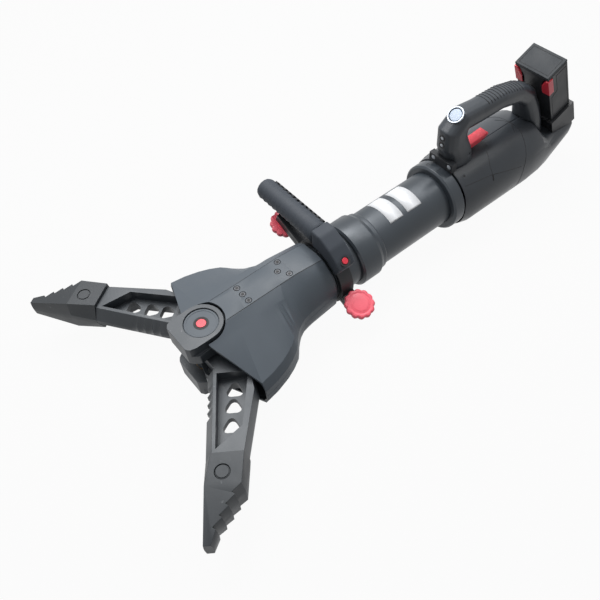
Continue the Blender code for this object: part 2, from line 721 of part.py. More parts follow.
def front_cutter():
    """All in front of the wings' front edge, with the round notch behind the cap."""
    far = 0.1
    half = [(far, WING_W + far), (WING_FRONT_OUT - 0.002, WING_W + far)]
    half += [(WING_FRONT_OUT, WING_W - EDGE_BEVEL), (WING_FRONT_IN, NOTCH_R)]
    notch = arc(NOTCH_R, 90, 270, 20)
    return half + notch + [(x, -y) for x, y in reversed(half)]


def covers(root, paint):
    """The two cover shells that close over the yoke, and the screws along the spine."""
    for name, sign in (("top_cover", 1), ("bottom_cover", -1)):
        turn = Matrix.Rotation(0.0 if sign > 0 else math.pi, 4, "X")
        shell = solid(name, moved(skin(cover_rings(0.0)), turn), paint["grey"], root)
        cut(shell, moved(skin(cover_rings(WALL)), turn))
        cut(shell, prism(front_cutter(), -0.1, 0.1))
        if sign > 0:
            for radius, depth in ((SCREW_R + CLEAR, 2 * WALL), (SCREW_HEAD_R + CLEAR, SCREW_SUNK)):
                holes = bmesh.new()
                for x, y in screw_places():
                    bmesh.ops.create_cone(holes, cap_ends=True, segments=12, radius1=radius,
                                          radius2=radius, depth=2 * depth,
                                          matrix=Matrix.Translation((x, y, COVER_TOP)))
                cut(shell, holes)
        smooth(shell, 25)
    for i, (x, y) in enumerate(screw_places()):
        screw = moved(screw_shape(), Matrix.Translation((x, y, COVER_TOP - SCREW_SUNK + CLEAR)))
        smooth(solid(f"cover_screw_{i + 1}", screw, paint["steel"], root))


def screw_shape():
    """A button-head screw standing on its seat at Z 0."""
    profile = [(-SCREW_L + 0.001, SCREW_R), (0.0, SCREW_R), (0.0, SCREW_HEAD_R)]
    profile += [(0.6 * SCREW_HEAD_H, SCREW_HEAD_R), (SCREW_HEAD_H, 0.7 * SCREW_HEAD_R)]
    rings = [[(px, py, z) for px, py in circle(radius, 10)] for z, radius in profile]
    return skin(rings)


def barrel(root, paint):
    """Cylinder tube with its gland, plug, neck ring, sleeve and rear collar."""
    tube = pipe(NECK_REAR - CLEAR, TUBE_REAR, TUBE_R, BORE_R, 36)
    smooth(solid("cylinder_tube", tube, paint["grey"], root))
    gland = pipe(GLAND_FRONT, GLAND_FRONT - GLAND_L, BORE_R - CLEAR, ROD_R + RUN)
    smooth(solid("gland", gland, paint["brass"], root))
    plug = turned([(PLUG_FRONT, BORE_R - CLEAR), (PLUG_FRONT - PLUG_L, BORE_R - CLEAR)])
    smooth(solid("end_plug", plug, paint["steel"], root))
    chamfer = 0.003
    ring = [(RING_FRONT, NECK_R + CLEAR), (RING_FRONT, RING_R - chamfer), (RING_FRONT - chamfer, RING_R)]
    ring += [(RING_REAR + chamfer, RING_R), (RING_REAR, RING_R - chamfer), (RING_REAR, NECK_R + CLEAR)]
    smooth(solid("neck_ring", hoop(ring), paint["grey"], root))
    inner = TUBE_R + CLEAR
    rear = SLEEVE_FRONT - SLEEVE_L
    sleeve = [(SLEEVE_FRONT, inner), (SLEEVE_FRONT, SLEEVE_R - chamfer), (SLEEVE_FRONT - chamfer, SLEEVE_R)]
    sleeve += [(rear + 0.015, SLEEVE_R), (rear + 0.008, TUBE_R + 0.003), (rear + 0.002, TUBE_R + 0.003)]
    sleeve += [(rear, TUBE_R + 0.0015), (rear, inner)]
    smooth(solid("barrel_sleeve", hoop(sleeve, 36), paint["grey"], root))
    front = TUBE_REAR + COLLAR_LAP
    collar = [(front, inner), (front, COLLAR_R - chamfer), (front - chamfer, COLLAR_R)]
    collar += [(COLLAR_REAR + chamfer, COLLAR_R), (COLLAR_REAR, COLLAR_R - chamfer), (COLLAR_REAR, inner)]
    smooth(solid("rear_collar", hoop(collar, 36), paint["grey"], root))


def clamp_half(name, material, parent, turn):
    """Half of the handle's clamp: a half ring with an ear at each end, split through the ears."""
    x = CLAMP_L / 2
    near = NEAR_KNOB_AT + EAR_W if turn == 0 else FAR_KNOB_AT + EAR_W
    far = FAR_KNOB_AT + EAR_W if turn == 0 else NEAR_KNOB_AT + EAR_W
    inner = TUBE_R + RUN
    gap = CLEAR
    start = math.degrees(math.asin(gap / inner))
    outline = arc(inner, 180 - start, start, 20)
    lift = math.degrees(math.asin(EAR_TALL / CLAMP_R))
    root = math.sqrt(CLAMP_R ** 2 - EAR_TALL ** 2)
    outline += [(near, gap), (near, EAR_TALL), (root, EAR_TALL)]
    outline += arc(CLAMP_R, lift + 4, 176 - lift, 18)
    outline += [(-root, EAR_TALL), (-far, EAR_TALL), (-far, gap)]
    ring = prism(outline, -x, x)
    out = EAR_OUT if turn == 0 else -EAR_OUT
    up = EAR_UP if turn == 0 else -EAR_UP
    basis = Matrix((out, up, out.cross(up))).transposed().to_4x4()
    half = solid(name, moved(ring, basis), material, parent)
    for at, sign in ((NEAR_KNOB_AT, 1), (FAR_KNOB_AT, -1)):
        bore = post(STUD_R + CLEAR, -0.05, 0.05, steps=16)
        cut(half, moved(bore, frame_on(EAR_OUT * at * sign, EAR_UP, (1, 0, 0))))
    return smooth(half)


def star_knob(name, material, parent):
    """A star knob standing on Z 0, with a short neck under its lobes."""
    steps = 4 * KNOB_LOBES
    outline = []
    for i in range(steps):
        angle = 2 * math.pi * i / steps
        radius = KNOB_R + KNOB_LOBE * (2 * abs(math.cos(KNOB_LOBES * angle / 2)) - 1)
        outline.append((radius * math.cos(angle), radius * math.sin(angle)))
    foot = 0.004
    bevel = 0.002
    inner = [(x * (1 - bevel / KNOB_R), y * (1 - bevel / KNOB_R)) for x, y in outline]
    rings = []
    for ring, z in ((inner, foot), (outline, foot + bevel), (outline, KNOB_T - bevel), (inner, KNOB_T)):
        rings.append([(x, y, z) for x, y in ring])
    knob = solid(name, skin(rings), material, parent)
    join(knob, post(0.5 * KNOB_R, CLEAR, foot + 0.001))
    return smooth(knob)


def bracket_outline():
    """The bracket's side view, in Y and Z, saddled on the clamp ring."""
    seat = CLAMP_R + CLEAR
    outline = arc(seat, 98, 36, 14)
    end_y = GRIP_FROM + CLEAR
    outline += [(0.0545, 0.046), (0.0575, 0.053), (0.0505, 0.064), (0.034, 0.080), (0.012, GRIP_Z + GRIP_R)]
    return outline + [(end_y, GRIP_Z + GRIP_R), (end_y, seat + 0.004)]


def carrying_handle(root, paint):
    """The handle that turns about the barrel: clamp, bracket, grip, knobs, bolts and button."""
    swivel = empty("handle_axis", (CLAMP_X, 0, 0), (0, 0, 0), root)
    clamp_half("upper_clamp", paint["black"], swivel, 0)
    clamp_half("lower_clamp", paint["black"], swivel, 1)
    stand = Matrix(((0, 0, 1, 0), (1, 0, 0, 0), (0, 1, 0, 0), (0, 0, 0, 1)))
    side = prism(bracket_outline(), -BRACKET_W, BRACKET_W)
    bracket = solid("handle_bracket", moved(side, stand), paint["black"], swivel)
    out = Vector((0, math.cos(math.radians(BUTTON_DEG)), math.sin(math.radians(BUTTON_DEG))))
    seat = CLAMP_R + CLEAR + 0.004
    cut(bracket, moved(post(BUTTON_R + CLEAR, seat, 0.1, steps=20), frame_on((0, 0, 0), out, (1, 0, 0))))
    smooth(bracket)
    at_button = empty("handle_button_axis", out * seat, (0, 0, 0), swivel)
    stem = post(BUTTON_R, BUTTON_TRAVEL + CLEAR, BUTTON_FACE - seat, steps=20)
    smooth(solid("handle_button", moved(stem, frame_on((0, 0, 0), out, (1, 0, 0))), paint["red"], at_button))
    rings = []
    rib = GRIP_L / (2 * GRIP_RIBS + 2)
    stations = [(0.0, 0.9), (0.5 * rib, 1.0)]
    for i in range(GRIP_RIBS):
        low = 1.0 - GRIP_RIB_DEPTH / GRIP_R
        stations += [(rib * (2 * i + 1.6), low), (rib * (2 * i + 2.6), 1.0)]
    stations += [(GRIP_L - 0.002, 0.9), (GRIP_L, 0.72)]
    for along, share in stations:
        ring = circle(GRIP_R * share, 16)
        rings.append([(x, GRIP_FROM - along, GRIP_Z + z) for x, z in ring])
    smooth(solid("handle_grip", skin(rings), paint["rubber"], swivel), 50)
    for name, at, sign in (("near", NEAR_KNOB_AT, 1), ("far", FAR_KNOB_AT, -1)):
        seat_at = (EAR_OUT * at + EAR_UP * EAR_TALL) * sign
        knob_axis = empty(name + "_knob_axis", seat_at, (0, 0, 0), swivel)
        knob_axis.rotation_euler = frame_on((0, 0, 0), EAR_UP * sign, (1, 0, 0)).to_euler()
        star_knob(name + "_knob", paint["red"], knob_axis)
        stud = post(STUD_R, -EAR_TALL - 0.004, EAR_TALL, steps=16)
        stud = moved(stud, frame_on(EAR_OUT * at * sign, EAR_UP * sign, (1, 0, 0)))
        smooth(solid(name + "_clamp_bolt", stud, paint["steel"], swivel))


def housing_rings(grow=0.0):
    """Rounded sections of the rear housing; grow is added all round, or taken off for its inside."""
    rows = [
        (HOUSING_FRONT, COLLAR_R - 0.001, COLLAR_R - 0.001, 0.003),
        (HOUSING_FRONT - 0.0177, HOUSING_R, HOUSING_TOP, 0.0),
        (HOUSING_FRONT - 0.1577, HOUSING_R + 0.001, HOUSING_TOP, 0.0),
        (HOUSING_FRONT - 0.1937, HOUSING_R - 0.002, HOUSING_TOP - 0.004, 0.0),
        (HOUSING_FRONT - 0.2177, HOUSING_R - 0.006, DOCK_SEAT + 0.006, 0.002),
        (HOUSING_FRONT - 0.2527, HOUSING_R - 0.014, DOCK_SEAT, 0.012),
        (HOUSING_FRONT - 0.2857, HOUSING_R - 0.020, DOCK_SEAT - 0.002, 0.032),
        (HOUSING_FRONT - 0.2997, HOUSING_R - 0.026, DOCK_SEAT - 0.004, 0.046),
    ]
    steps = 32
    roundness = 2 / 2.3
    rings = []
    for i, (x, half, top, lift) in enumerate(rows):
        if i == 0:
            x += 0.02 if grow < 0 else grow
        if i == len(rows) - 1:
            x -= grow
        belly = AXIS_H - lift + grow
        ring = []
        for j in range(steps):
            angle = 2 * math.pi * (j + 0.5) / steps
            c, s = math.cos(angle), math.sin(angle)
            y = (half + grow) * math.copysign(abs(c) ** roundness, c)
            if s > 0:
                z = (top + grow) * s ** roundness
            else:
                z = -belly * min(1.06 * abs(s) ** roundness, 1.0)
            ring.append((x, y, z))
        rings.append(ring)
    return rings


def housing(root, paint):
    """Two half shells round the pump, the motor and the control board."""
    big = 0.3
    for name, sign in (("left_housing", 1), ("right_housing", -1)):
        shell = solid(name, skin(housing_rings()), paint["grey"], root)
        cut(shell, skin(housing_rings(-HOUSING_WALL)))
        low_y, high_y = (-big, CLEAR / 2) if sign > 0 else (-CLEAR / 2, big)
        cut(shell, block((-1.0, low_y, -big), (0.0, high_y, big)))
        smooth(shell, 25)
    front = TUBE_REAR - CLEAR
    pump = turned([(front, TUBE_R), (front - PUMP_L, TUBE_R)])
    smooth(solid("pump_block", pump, paint["cast"], root))
    motor_front = front - PUMP_L - CLEAR
    motor = turned([(motor_front, MOTOR_R), (motor_front - MOTOR_L, MOTOR_R)], 24)
    smooth(solid("motor", motor, paint["steel"], root))
    board_front = motor_front - MOTOR_L - CLEAR
    board_low = (board_front - BOARD_L, -BOARD_W, -BOARD_T / 2)
    board = block(board_low, (board_front, BOARD_W, BOARD_T / 2))
    solid("control_board", board, paint["board"], root)


def swept(path, steps=16):
    """A rounded tube along stations of X, Z, half width and half thickness in the plane Y 0."""
    rings = []
    for i, (x, z, wide, thick) in enumerate(path):
        before = path[max(i - 1, 0)]
        after = path[min(i + 1, len(path) - 1)]
        along = Vector((after[0] - before[0], after[1] - before[1])).normalized()
        across = Vector((-along.y, along.x))
        ring = []
        for j in range(steps):
            angle = 2 * math.pi * (j + 0.5) / steps
            c, s = math.cos(angle), math.sin(angle)
            power = 2 / 2.6
            side = wide * math.copysign(abs(c) ** power, c)
            lift = thick * math.copysign(abs(s) ** power, s)
            ring.append((x + across.x * lift, side, z + across.y * lift))
        rings.append(ring)
    return skin(rings)


def handle_path(gap=0.0):
    """The stations of the rear handle, with a gap all round where a neighbour is cut to clear it."""
    return [(HOUSING_FRONT - back, z, wide + gap, thick + gap) for back, z, wide, thick in HANDLE_LINE]


def rear_handle(root, paint):
    """The D handle on the housing, with its power button, trigger, lamps and switch."""
    handle = solid("rear_handle", swept(handle_path()), paint["black"], root)
    cut(handle, skin(housing_rings(RUN)))
    lean = math.radians(POWER_TILT)
    up = Vector((math.sin(lean), 0, math.cos(lean)))
    at = Vector((POWER_AT[0], 0, POWER_AT[1]))
    upright = frame_on(at, up, (0, 1, 0))
    depth = 0.010
    cut(handle, moved(post(POWER_R + CLEAR, -depth, 0.05, steps=24), upright))
    pin_x, pin_z = TRIGGER_PIN
    slot = TRIGGER_HALF + RUN
    cut(handle, block((pin_x - 0.030, -slot, pin_z - 0.010), (pin_x + 0.008, slot, pin_z + 0.020)))
    pin_matrix = frame_on((pin_x, 0, pin_z), (0, 1, 0), (0, 0, 1))
    cut(handle, moved(post(TRIGGER_PIN_R + CLEAR, -0.03, 0.03, steps=16), pin_matrix))
    smooth(handle, 40)
    pin = moved(post(TRIGGER_PIN_R, -TRIGGER_PIN_L / 2, TRIGGER_PIN_L / 2, steps=16), pin_matrix)
    smooth(solid("trigger_pin", pin, paint["steel"], root))
    trigger_axis = empty("trigger_axis", (pin_x, 0, pin_z), (0, 0, 0), root)
    side = [(0.005, -0.004), (0.005, 0.005), (-0.010, 0.0055), (-0.035, 0.006), (-TRIGGER_L, 0.0075)]
    side += [(-TRIGGER_L - 0.001, 0.003), (-0.038, -0.003), (-0.010, -0.0045)]
    lever = moved(prism(side, -TRIGGER_HALF, TRIGGER_HALF), ON_SIDE)
    trigger = solid("trigger", lever, paint["red"], trigger_axis)
    cut(trigger, moved(post(TRIGGER_PIN_R + CLEAR, -0.03, 0.03, steps=16), frame_on((0, 0, 0), (0, 1, 0))))
    smooth(trigger)
    power_axis = empty("power_button_axis", at, upright.to_euler(), root)
    button = post(POWER_R, -depth + POWER_TRAVEL + CLEAR, 0.001, steps=24)
    smooth(solid("power_button", button, paint["light"], power_axis))
    lamp_low = (LAMP_X - 0.012, -LAMP_Y - 0.008, COLLAR_R + CLEAR)
    lamp_high = (LAMP_X - 0.001, LAMP_Y + 0.008, LAMP_Z + 0.008)
    lamp_block = solid("lamp_block", block(lamp_low, lamp_high), paint["black"], root)
    cut(lamp_block, skin(housing_rings(RUN)))
    cut(lamp_block, swept(handle_path(CLEAR)))
    for sign in (1, -1):
        spot = (LAMP_X, sign * LAMP_Y, LAMP_Z)
        bore = moved(post(LAMP_R, -0.004, 0.02, steps=16), frame_on(spot, (1, 0, 0)))
        cut(lamp_block, bore)
    smooth(lamp_block)


def latch_shape(name, sign, case_top, gap, room, material, parent):
    """A leaf-shaped latch in a front corner of the case; a gap and a room inward make its recess."""
    high = case_top - LATCH_BELOW + gap
    low = case_top - LATCH_BELOW - LATCH_H - gap
    front = LATCH_PROUD + gap
    rear = -LATCH_D - gap
    out = BATTERY_W + LATCH_PROUD + gap
    inner = BATTERY_W + LATCH_PROUD - LATCH_W - room
    edge = BATTERY_W + LATCH_PROUD - LATCH_EDGE - room
    outline = [(front, inner), (front, out), (rear, out), (rear, edge)]
    latch = solid(name, prism([(x, sign * y) for x, y in outline], low, high), material, parent)
    top_in = BATTERY_W + LATCH_PROUD - LATCH_TOP_W - room
    slant = [(inner - 0.002, low + 0.4 * LATCH_H), (top_in + 0.002, high + 0.004)]
    slant.append((inner - 0.002, high + 0.004))
    across = Matrix(((0, 0, 1, 0), (sign, 0, 0, 0), (0, 1, 0, 0), (0, 0, 0, 1)))
    cut(latch, moved(prism(slant, -0.05, 0.05), across))
    return latch


def battery(root, paint):
    """The dock on the housing, and the battery with its two latches, which slides out upward."""
    foot_x, foot_z = BATTERY_FOOT
    lean = math.radians(BATTERY_LEAN)
    stand = Matrix.Translation((foot_x, 0, foot_z)) @ Matrix.Rotation(lean, 4, "Y")
    over = DOCK_OVER
    low = (-BATTERY_D - over, -BATTERY_W - over, -DOCK_H)
    dock = moved(block(low, (over, BATTERY_W + over, -CLEAR)), stand)
    dock = solid("battery_dock", dock, paint["black"], root)
    cut(dock, skin(housing_rings(RUN)))
    cut(dock, swept(handle_path(CLEAR)))
    smooth(dock)
    slide = empty("battery_axis", (foot_x, 0, foot_z), (0, lean, 0), root)
    case_top = BATTERY_H - LID_H
    case = block((-BATTERY_D, -BATTERY_W, 0), (0, BATTERY_W, case_top))
    case = solid("battery_case", case, paint["black"], slide)
    lid = block((-BATTERY_D, -BATTERY_W, case_top + CLEAR), (0, BATTERY_W, BATTERY_H))
    smooth(solid("battery_lid", lid, paint["grey"], slide))
    for side, sign in (("left", 1), ("right", -1)):
        combine(case, latch_shape("room", sign, case_top, CLEAR, LATCH_TRAVEL + 3 * CLEAR, None, None))
        smooth(latch_shape(side + "_latch", sign, case_top, 0.0, 0.0, paint["red"], slide))
    smooth(case)


def main():
    clear_scene()
    paint = {
        "grey": finish("slate coated aluminium", (0.075, 0.085, 0.098), 0.45, 0.3),
        "cast": finish("coated forging", (0.070, 0.078, 0.090), 0.5, 0.3),
        "forged": finish("black anodised aluminium", (0.060, 0.066, 0.075), 0.42, 0.4),
        "tip": finish("phosphated steel", (0.050, 0.054, 0.060), 0.5, 0.5),
        "lock": finish("blackened steel", (0.055, 0.060, 0.068), 0.45, 0.5),
        "steel": finish("zinc plated steel", (0.30, 0.31, 0.32), 0.35, 0.9),
        "chrome": finish("hard chromed steel", (0.60, 0.61, 0.62), 0.15, 1.0),
        "brass": finish("bearing bronze", (0.45, 0.31, 0.14), 0.4, 0.9),
        "black": finish("black glass filled nylon", (0.024, 0.024, 0.026), 0.5),
        "rubber": finish("grey soft rubber", (0.060, 0.066, 0.075), 0.7),
        "red": finish("red nylon", (0.70, 0.07, 0.09), 0.45),
        "light": finish("translucent white button", (0.62, 0.70, 0.82), 0.25),
        "board": finish("green circuit board", (0.03, 0.14, 0.07), 0.5),
    }
    root = empty("spreader", (0, 0, AXIS_H))
    arms(root, paint)
    drive(root, paint)
    yoke(root, paint)
    caps(root, paint)
    covers(root, paint)
    barrel(root, paint)
    carrying_handle(root, paint)
    housing(root, paint)
    rear_handle(root, paint)
    battery(root, paint)


main()
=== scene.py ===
# %% [markdown]
# # A battery rescue spreader
#
# This lesson dresses the solids of a battery rescue spreader for a studio picture. The solids carry the
# sizes and the joints. Here each one gets rounded edges, a finish, and the small details that the eye
# expects: seams, screws, ribs, lenses and bare labels.

import json
import math

import bmesh
import bpy
from mathutils import Matrix, Vector
from mathutils.bvhtree import BVHTree

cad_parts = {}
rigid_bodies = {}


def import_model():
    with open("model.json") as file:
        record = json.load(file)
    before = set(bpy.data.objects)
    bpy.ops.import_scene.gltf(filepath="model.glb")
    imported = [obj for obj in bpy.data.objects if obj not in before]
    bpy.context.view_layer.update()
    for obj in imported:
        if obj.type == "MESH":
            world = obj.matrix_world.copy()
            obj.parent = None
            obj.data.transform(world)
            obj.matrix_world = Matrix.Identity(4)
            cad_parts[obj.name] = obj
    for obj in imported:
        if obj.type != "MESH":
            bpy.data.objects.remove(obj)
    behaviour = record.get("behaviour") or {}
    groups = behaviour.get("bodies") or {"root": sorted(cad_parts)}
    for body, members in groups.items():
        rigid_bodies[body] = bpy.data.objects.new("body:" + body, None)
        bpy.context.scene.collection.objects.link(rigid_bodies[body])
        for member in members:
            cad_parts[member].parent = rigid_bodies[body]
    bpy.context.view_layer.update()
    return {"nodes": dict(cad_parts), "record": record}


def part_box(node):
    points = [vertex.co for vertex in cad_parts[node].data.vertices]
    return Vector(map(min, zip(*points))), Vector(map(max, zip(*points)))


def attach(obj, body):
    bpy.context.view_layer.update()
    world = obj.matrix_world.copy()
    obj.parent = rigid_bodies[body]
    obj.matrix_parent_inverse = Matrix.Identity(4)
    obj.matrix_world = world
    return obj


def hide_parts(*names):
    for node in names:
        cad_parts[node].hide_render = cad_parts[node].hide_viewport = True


for leftover in list(bpy.data.objects):
    bpy.data.objects.remove(leftover, do_unlink=True)
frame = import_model()
AXIS_H = 0.062          # height of the barrel's axis over the floor
MM = 0.001              # a millimetre, in Blender's metres

# %% [markdown]
# ## Camera
#
# A camera could be turned by eye until the picture looks right. This one was fitted to pairs of points that
# mirror each other on the tool, because then every piece can be compared with the photograph point by point.
# It looks down on the tool from its front left. The focal length is 42 mm on a 36 mm sensor, which is 700
# pixels on a picture that is 600 pixels wide.

# %% Camera
CAMERA_AT = (0.2011, 0.5871, 0.8535 + AXIS_H)
camera = bpy.data.objects.new("camera", bpy.data.cameras.new("camera"))
bpy.context.scene.collection.objects.link(camera)
right = Vector((-0.7815, 0.6186, -0.0816))
up = Vector((-0.5299, -0.5889, 0.6103))
back = right.cross(up).normalized()
turn = Matrix((right.normalized(), back.cross(right).normalized(), back)).transposed()
camera.matrix_world = Matrix.Translation(CAMERA_AT) @ turn.to_4x4()
camera.data.lens = 42.0
camera.data.sensor_width = 36.0
bpy.context.scene.camera = camera
print("camera at", [round(value, 3) for value in camera.location])

# %% [markdown]
# ## Colours and nodes
#
# Colours are written as a colour picker shows them, in sRGB, and shaders want linear light, so one function
# turns one into the other. A node could be added, set and linked in five lines each time. One small function
# does that in a line, for materials, for the world and for Geometry Nodes alike.

# %% Colours and nodes


def linear(hex_colour):
    """Turn an sRGB hex colour into linear values with alpha."""
    values = []
    for start in (1, 3, 5):
        share = int(hex_colour[start:start + 2], 16) / 255
        values.append(share / 12.92 if share <= 0.04045 else ((share + 0.055) / 1.055) ** 2.4)
    return (*values, 1.0)


def add(tree, kind, inputs=None, **settings):
    """Add one node; an input takes a value, or a socket to link from."""
    made = tree.nodes.new(kind)
    for name, value in settings.items():
        setattr(made, name, value)
    for name, value in (inputs or {}).items():
        if isinstance(value, bpy.types.NodeSocket):
            tree.links.new(value, made.inputs[name])
        else:
            made.inputs[name].default_value = value
    return made


def blank_material(name):
    """A material with an empty node tree, and that tree."""
    material = bpy.data.materials.new(name)
    material.use_nodes = True
    material.node_tree.nodes.clear()
    return material, material.node_tree


print("middle grey in linear light:", round(linear("#808080")[0], 3))

# %% [markdown]
# ## Studio
#
# The tool lies on paper in a light tent. Where the camera or a reflection looks at them, the floor and the
# world are white. For the light that falls on the tool they are dimmer, because a bright tent would light it
# from all sides and wash out its dark finishes. The floor keeps a small share of the paper's own shade, and
# with it the shadow.

# %% Floor
PAPER = "#8c8c8c"
WHITE_SHARE = 0.95      # the rest is the paper, which takes the shadow
FLOOR_HALF = 30.0
FLOOR_DROP = 0.0005     # keeps the floor clear of the faces that rest on it


def white_to_camera(tree):
    """One where the camera, a reflection or glass looks, nought for light on the object."""
    path = add(tree, "ShaderNodeLightPath")
    seen = path.outputs["Is Camera Ray"]
    for ray in ("Is Glossy Ray", "Is Transmission Ray"):
        seen = add(tree, "ShaderNodeMath", {0: seen, 1: path.outputs[ray]}, operation="MAXIMUM").outputs[0]
    return seen


floor_paper, tree = blank_material("studio_paper")
paper = add(tree, "ShaderNodeBsdfDiffuse", {"Color": linear(PAPER)})
glow = add(tree, "ShaderNodeEmission", {"Color": linear("#ffffff"), "Strength": 1.0})
share = add(tree, "ShaderNodeMath", {0: white_to_camera(tree), 1: WHITE_SHARE}, operation="MULTIPLY")
mix = add(tree, "ShaderNodeMixShader", {0: share.outputs[0], 1: paper.outputs[0], 2: glow.outputs[0]})
add(tree, "ShaderNodeOutputMaterial", {"Surface": mix.outputs[0]})
bm = bmesh.new()
bmesh.ops.create_grid(bm, x_segments=1, y_segments=1, size=FLOOR_HALF)
floor_mesh = bpy.data.meshes.new("floor")
bm.to_mesh(floor_mesh)
bm.free()
floor_mesh.materials.append(floor_paper)
floor = bpy.data.objects.new("floor", floor_mesh)
floor.location.z = -FLOOR_DROP
bpy.context.scene.collection.objects.link(floor)
print("floor:", 2 * FLOOR_HALF, "m wide")

# %% [markdown]
# ## World
#
# The tent round the tool is the world. A picture of a studio could light it, but an even white needs none.
# Its light on the tool is kept weak, so that the lamps give the tool its form.

# %% World
TENT_LIGHT = 0.24
world = bpy.data.worlds.new("light_tent")
world.use_nodes = True
tree = world.node_tree
tree.nodes.clear()
tent = add(tree, "ShaderNodeBackground", {"Color": linear("#ffffff"), "Strength": TENT_LIGHT})
white = add(tree, "ShaderNodeBackground", {"Color": linear("#ffffff"), "Strength": 1.0})
seen = white_to_camera(tree)
mix = add(tree, "ShaderNodeMixShader", {0: seen, 1: tent.outputs[0], 2: white.outputs[0]})
add(tree, "ShaderNodeOutputWorld", {"Surface": mix.outputs[0]})
bpy.context.scene.world = world
print("tent light on the tool:", TENT_LIGHT)

# %% [markdown]
# ## Lamps
#
# The light is soft and comes mostly from above. A large lamp hangs overhead, a narrow one over the rear end
# draws highlights along the barrel, and a weak one fills the near side. Area lamps were chosen over point
# lamps because their size is what makes a highlight broad and a shadow soft.

# %% Lamps


def lamp(name, place, target, size, watts):
    """A rectangular lamp at a place, turned to a target."""
    data = bpy.data.lights.new(name, "AREA")
    data.shape = "RECTANGLE"
    data.size, data.size_y = size
    data.energy = watts
    made = bpy.data.objects.new(name, data)
    made.location = place
    made.rotation_euler = (Vector(target) - Vector(place)).to_track_quat("-Z", "Y").to_euler()
    bpy.context.scene.collection.objects.link(made)


lamp("overhead_softbox", (-0.3, -0.8, 1.7), (-0.3, 0.0, 0.05), size=(1.8, 1.0), watts=44)
lamp("rear_strip", (-1.2, -0.2, 1.6), (-0.5, 0.0, 0.08), size=(1.6, 0.3), watts=16)
lamp("near_fill", (0.9, 1.5, 0.9), (-0.1, 0.0, 0.05), size=(1.2, 0.8), watts=2)
bpy.context.scene.view_settings.view_transform = "Standard"
print("lamps:", [light.name for light in bpy.data.lights])

# %% [markdown]
# ## A finish
#
# Almost all of the tool is dark: slate powder coat and anodising, black glass-filled nylon and soft rubber.
# What sets them apart is gloss and grain, so they share one recipe. It is a Principled shader whose tone and
# gloss drift slowly over the surface and whose bump carries the grain, with noise in real sizes. Noise on
# Object coordinates was chosen because it needs no unwrapping and keeps its scale on any piece. Most of the
# grain is finer than a pixel of this picture, and what the eye gets from it is a softer edge to highlights.

# %% A finish
CLOUD_MM = 60.0         # size of the slow changes in tone and gloss
RUB_MM = 9.0            # size of the patches in which a coat is rubbed
RUBBED = "#8a8d90"      # the paler metal under a rubbed coat
GRAIN_DEPTH_MM = 0.1


def rubbed(tree, place, base, worn):
    """A base colour with pale specks where handling has rubbed the coat."""
    rub = add(tree, "ShaderNodeTexNoise", {"Vector": place, "Scale": 1 / (RUB_MM * MM), "Detail": 8.0,
                                           "Roughness": 0.72})
    specks = add(tree, "ShaderNodeMapRange", {"Value": rub.outputs["Fac"], "From Min": 0.64,
                                              "From Max": 0.70, "To Max": worn})
    scuffed = add(tree, "ShaderNodeMix", {0: specks.outputs[0], 6: base, 7: linear(RUBBED)}, data_type="RGBA")
    return scuffed.outputs[2]


def finish(name, colour, roughness, metallic=0.0, grain_mm=0.8, grain=0.15, cloud=0.12, worn=0.0,
           spread=0.08, ior=1.5):
    """A surface with grain in its bump, slow clouds in its tone and gloss, and rubs where it is worn."""
    material, tree = blank_material(name)
    place = add(tree, "ShaderNodeTexCoord").outputs["Object"]
    clouds = add(tree, "ShaderNodeTexNoise", {"Vector": place, "Scale": 1 / (CLOUD_MM * MM), "Detail": 4.0})
    fine = add(tree, "ShaderNodeTexNoise", {"Vector": place, "Scale": 1 / (grain_mm * MM), "Detail": 3.0})
    dark = [value * (1 - cloud) for value in linear(colour)[:3]] + [1.0]
    light = [min(value * (1 + cloud), 1.0) for value in linear(colour)[:3]] + [1.0]
    tone = add(tree, "ShaderNodeMix", {0: clouds.outputs["Fac"], 6: dark, 7: light}, data_type="RGBA")
    base = rubbed(tree, place, tone.outputs[2], worn) if worn else tone.outputs[2]
    gloss = add(tree, "ShaderNodeMapRange",
                {"Value": clouds.outputs["Fac"], "From Min": 0.3, "From Max": 0.7,
                 "To Min": roughness - spread, "To Max": roughness + spread})
    bump = add(tree, "ShaderNodeBump", {"Height": fine.outputs["Fac"], "Strength": grain,
                                        "Distance": GRAIN_DEPTH_MM * MM})
    shader = add(tree, "ShaderNodeBsdfPrincipled",
                 {"Base Color": base, "Roughness": gloss.outputs[0], "Normal": bump.outputs[0],
                  "Metallic": metallic, "IOR": ior})
    add(tree, "ShaderNodeOutputMaterial", {"Surface": shader.outputs[0]})
    print("finish:", name, colour)
    return material


print("clouds of", CLOUD_MM, "mm and rubs of", RUB_MM, "mm")

# %% [markdown]
# ## Metal and coated metal
#
# The load goes through forged, turned and plated metal, most of it under a dark coat. A coat hides the
# metal, so a coated part is less metallic, and bare or plated parts are nearly wholly so. Paints and polymers
# start from an index of refraction of 1.5. The dull ones were matched at a lower one, because a fine matt
# texture scatters the shine that a smooth face would keep. Metals keep the default.

# %% Metal and coated metal
DULL = 1.36
# powder coat, sprayed and baked: the palest grey of the large parts, with broad soft highlights
SLATE = finish("slate_powder_coat", "#474e55", 0.48, grain_mm=0.7, grain=0.25, ior=DULL)
# aluminium, turned and anodised: a darker slate with a tighter streak of light along the barrel
ANODISED = finish("slate_anodised_tube", "#343a40", 0.38, metallic=0.25, grain_mm=0.5)
# steel, forged and coated: a half-dull graphite with a coarse skin and a few pale rubs
FORGED = finish("graphite_coated_forging", "#31363b", 0.46, metallic=0.1, grain_mm=0.9, grain=0.35,
                worn=0.25)
# steel, phosphated: darker and rougher than the arms, and rubbed more, as the tips do the work
TIP = finish("phosphated_tip_steel", "#25292d", 0.5, metallic=0.25, grain_mm=1.0, grain=0.4, worn=0.35)
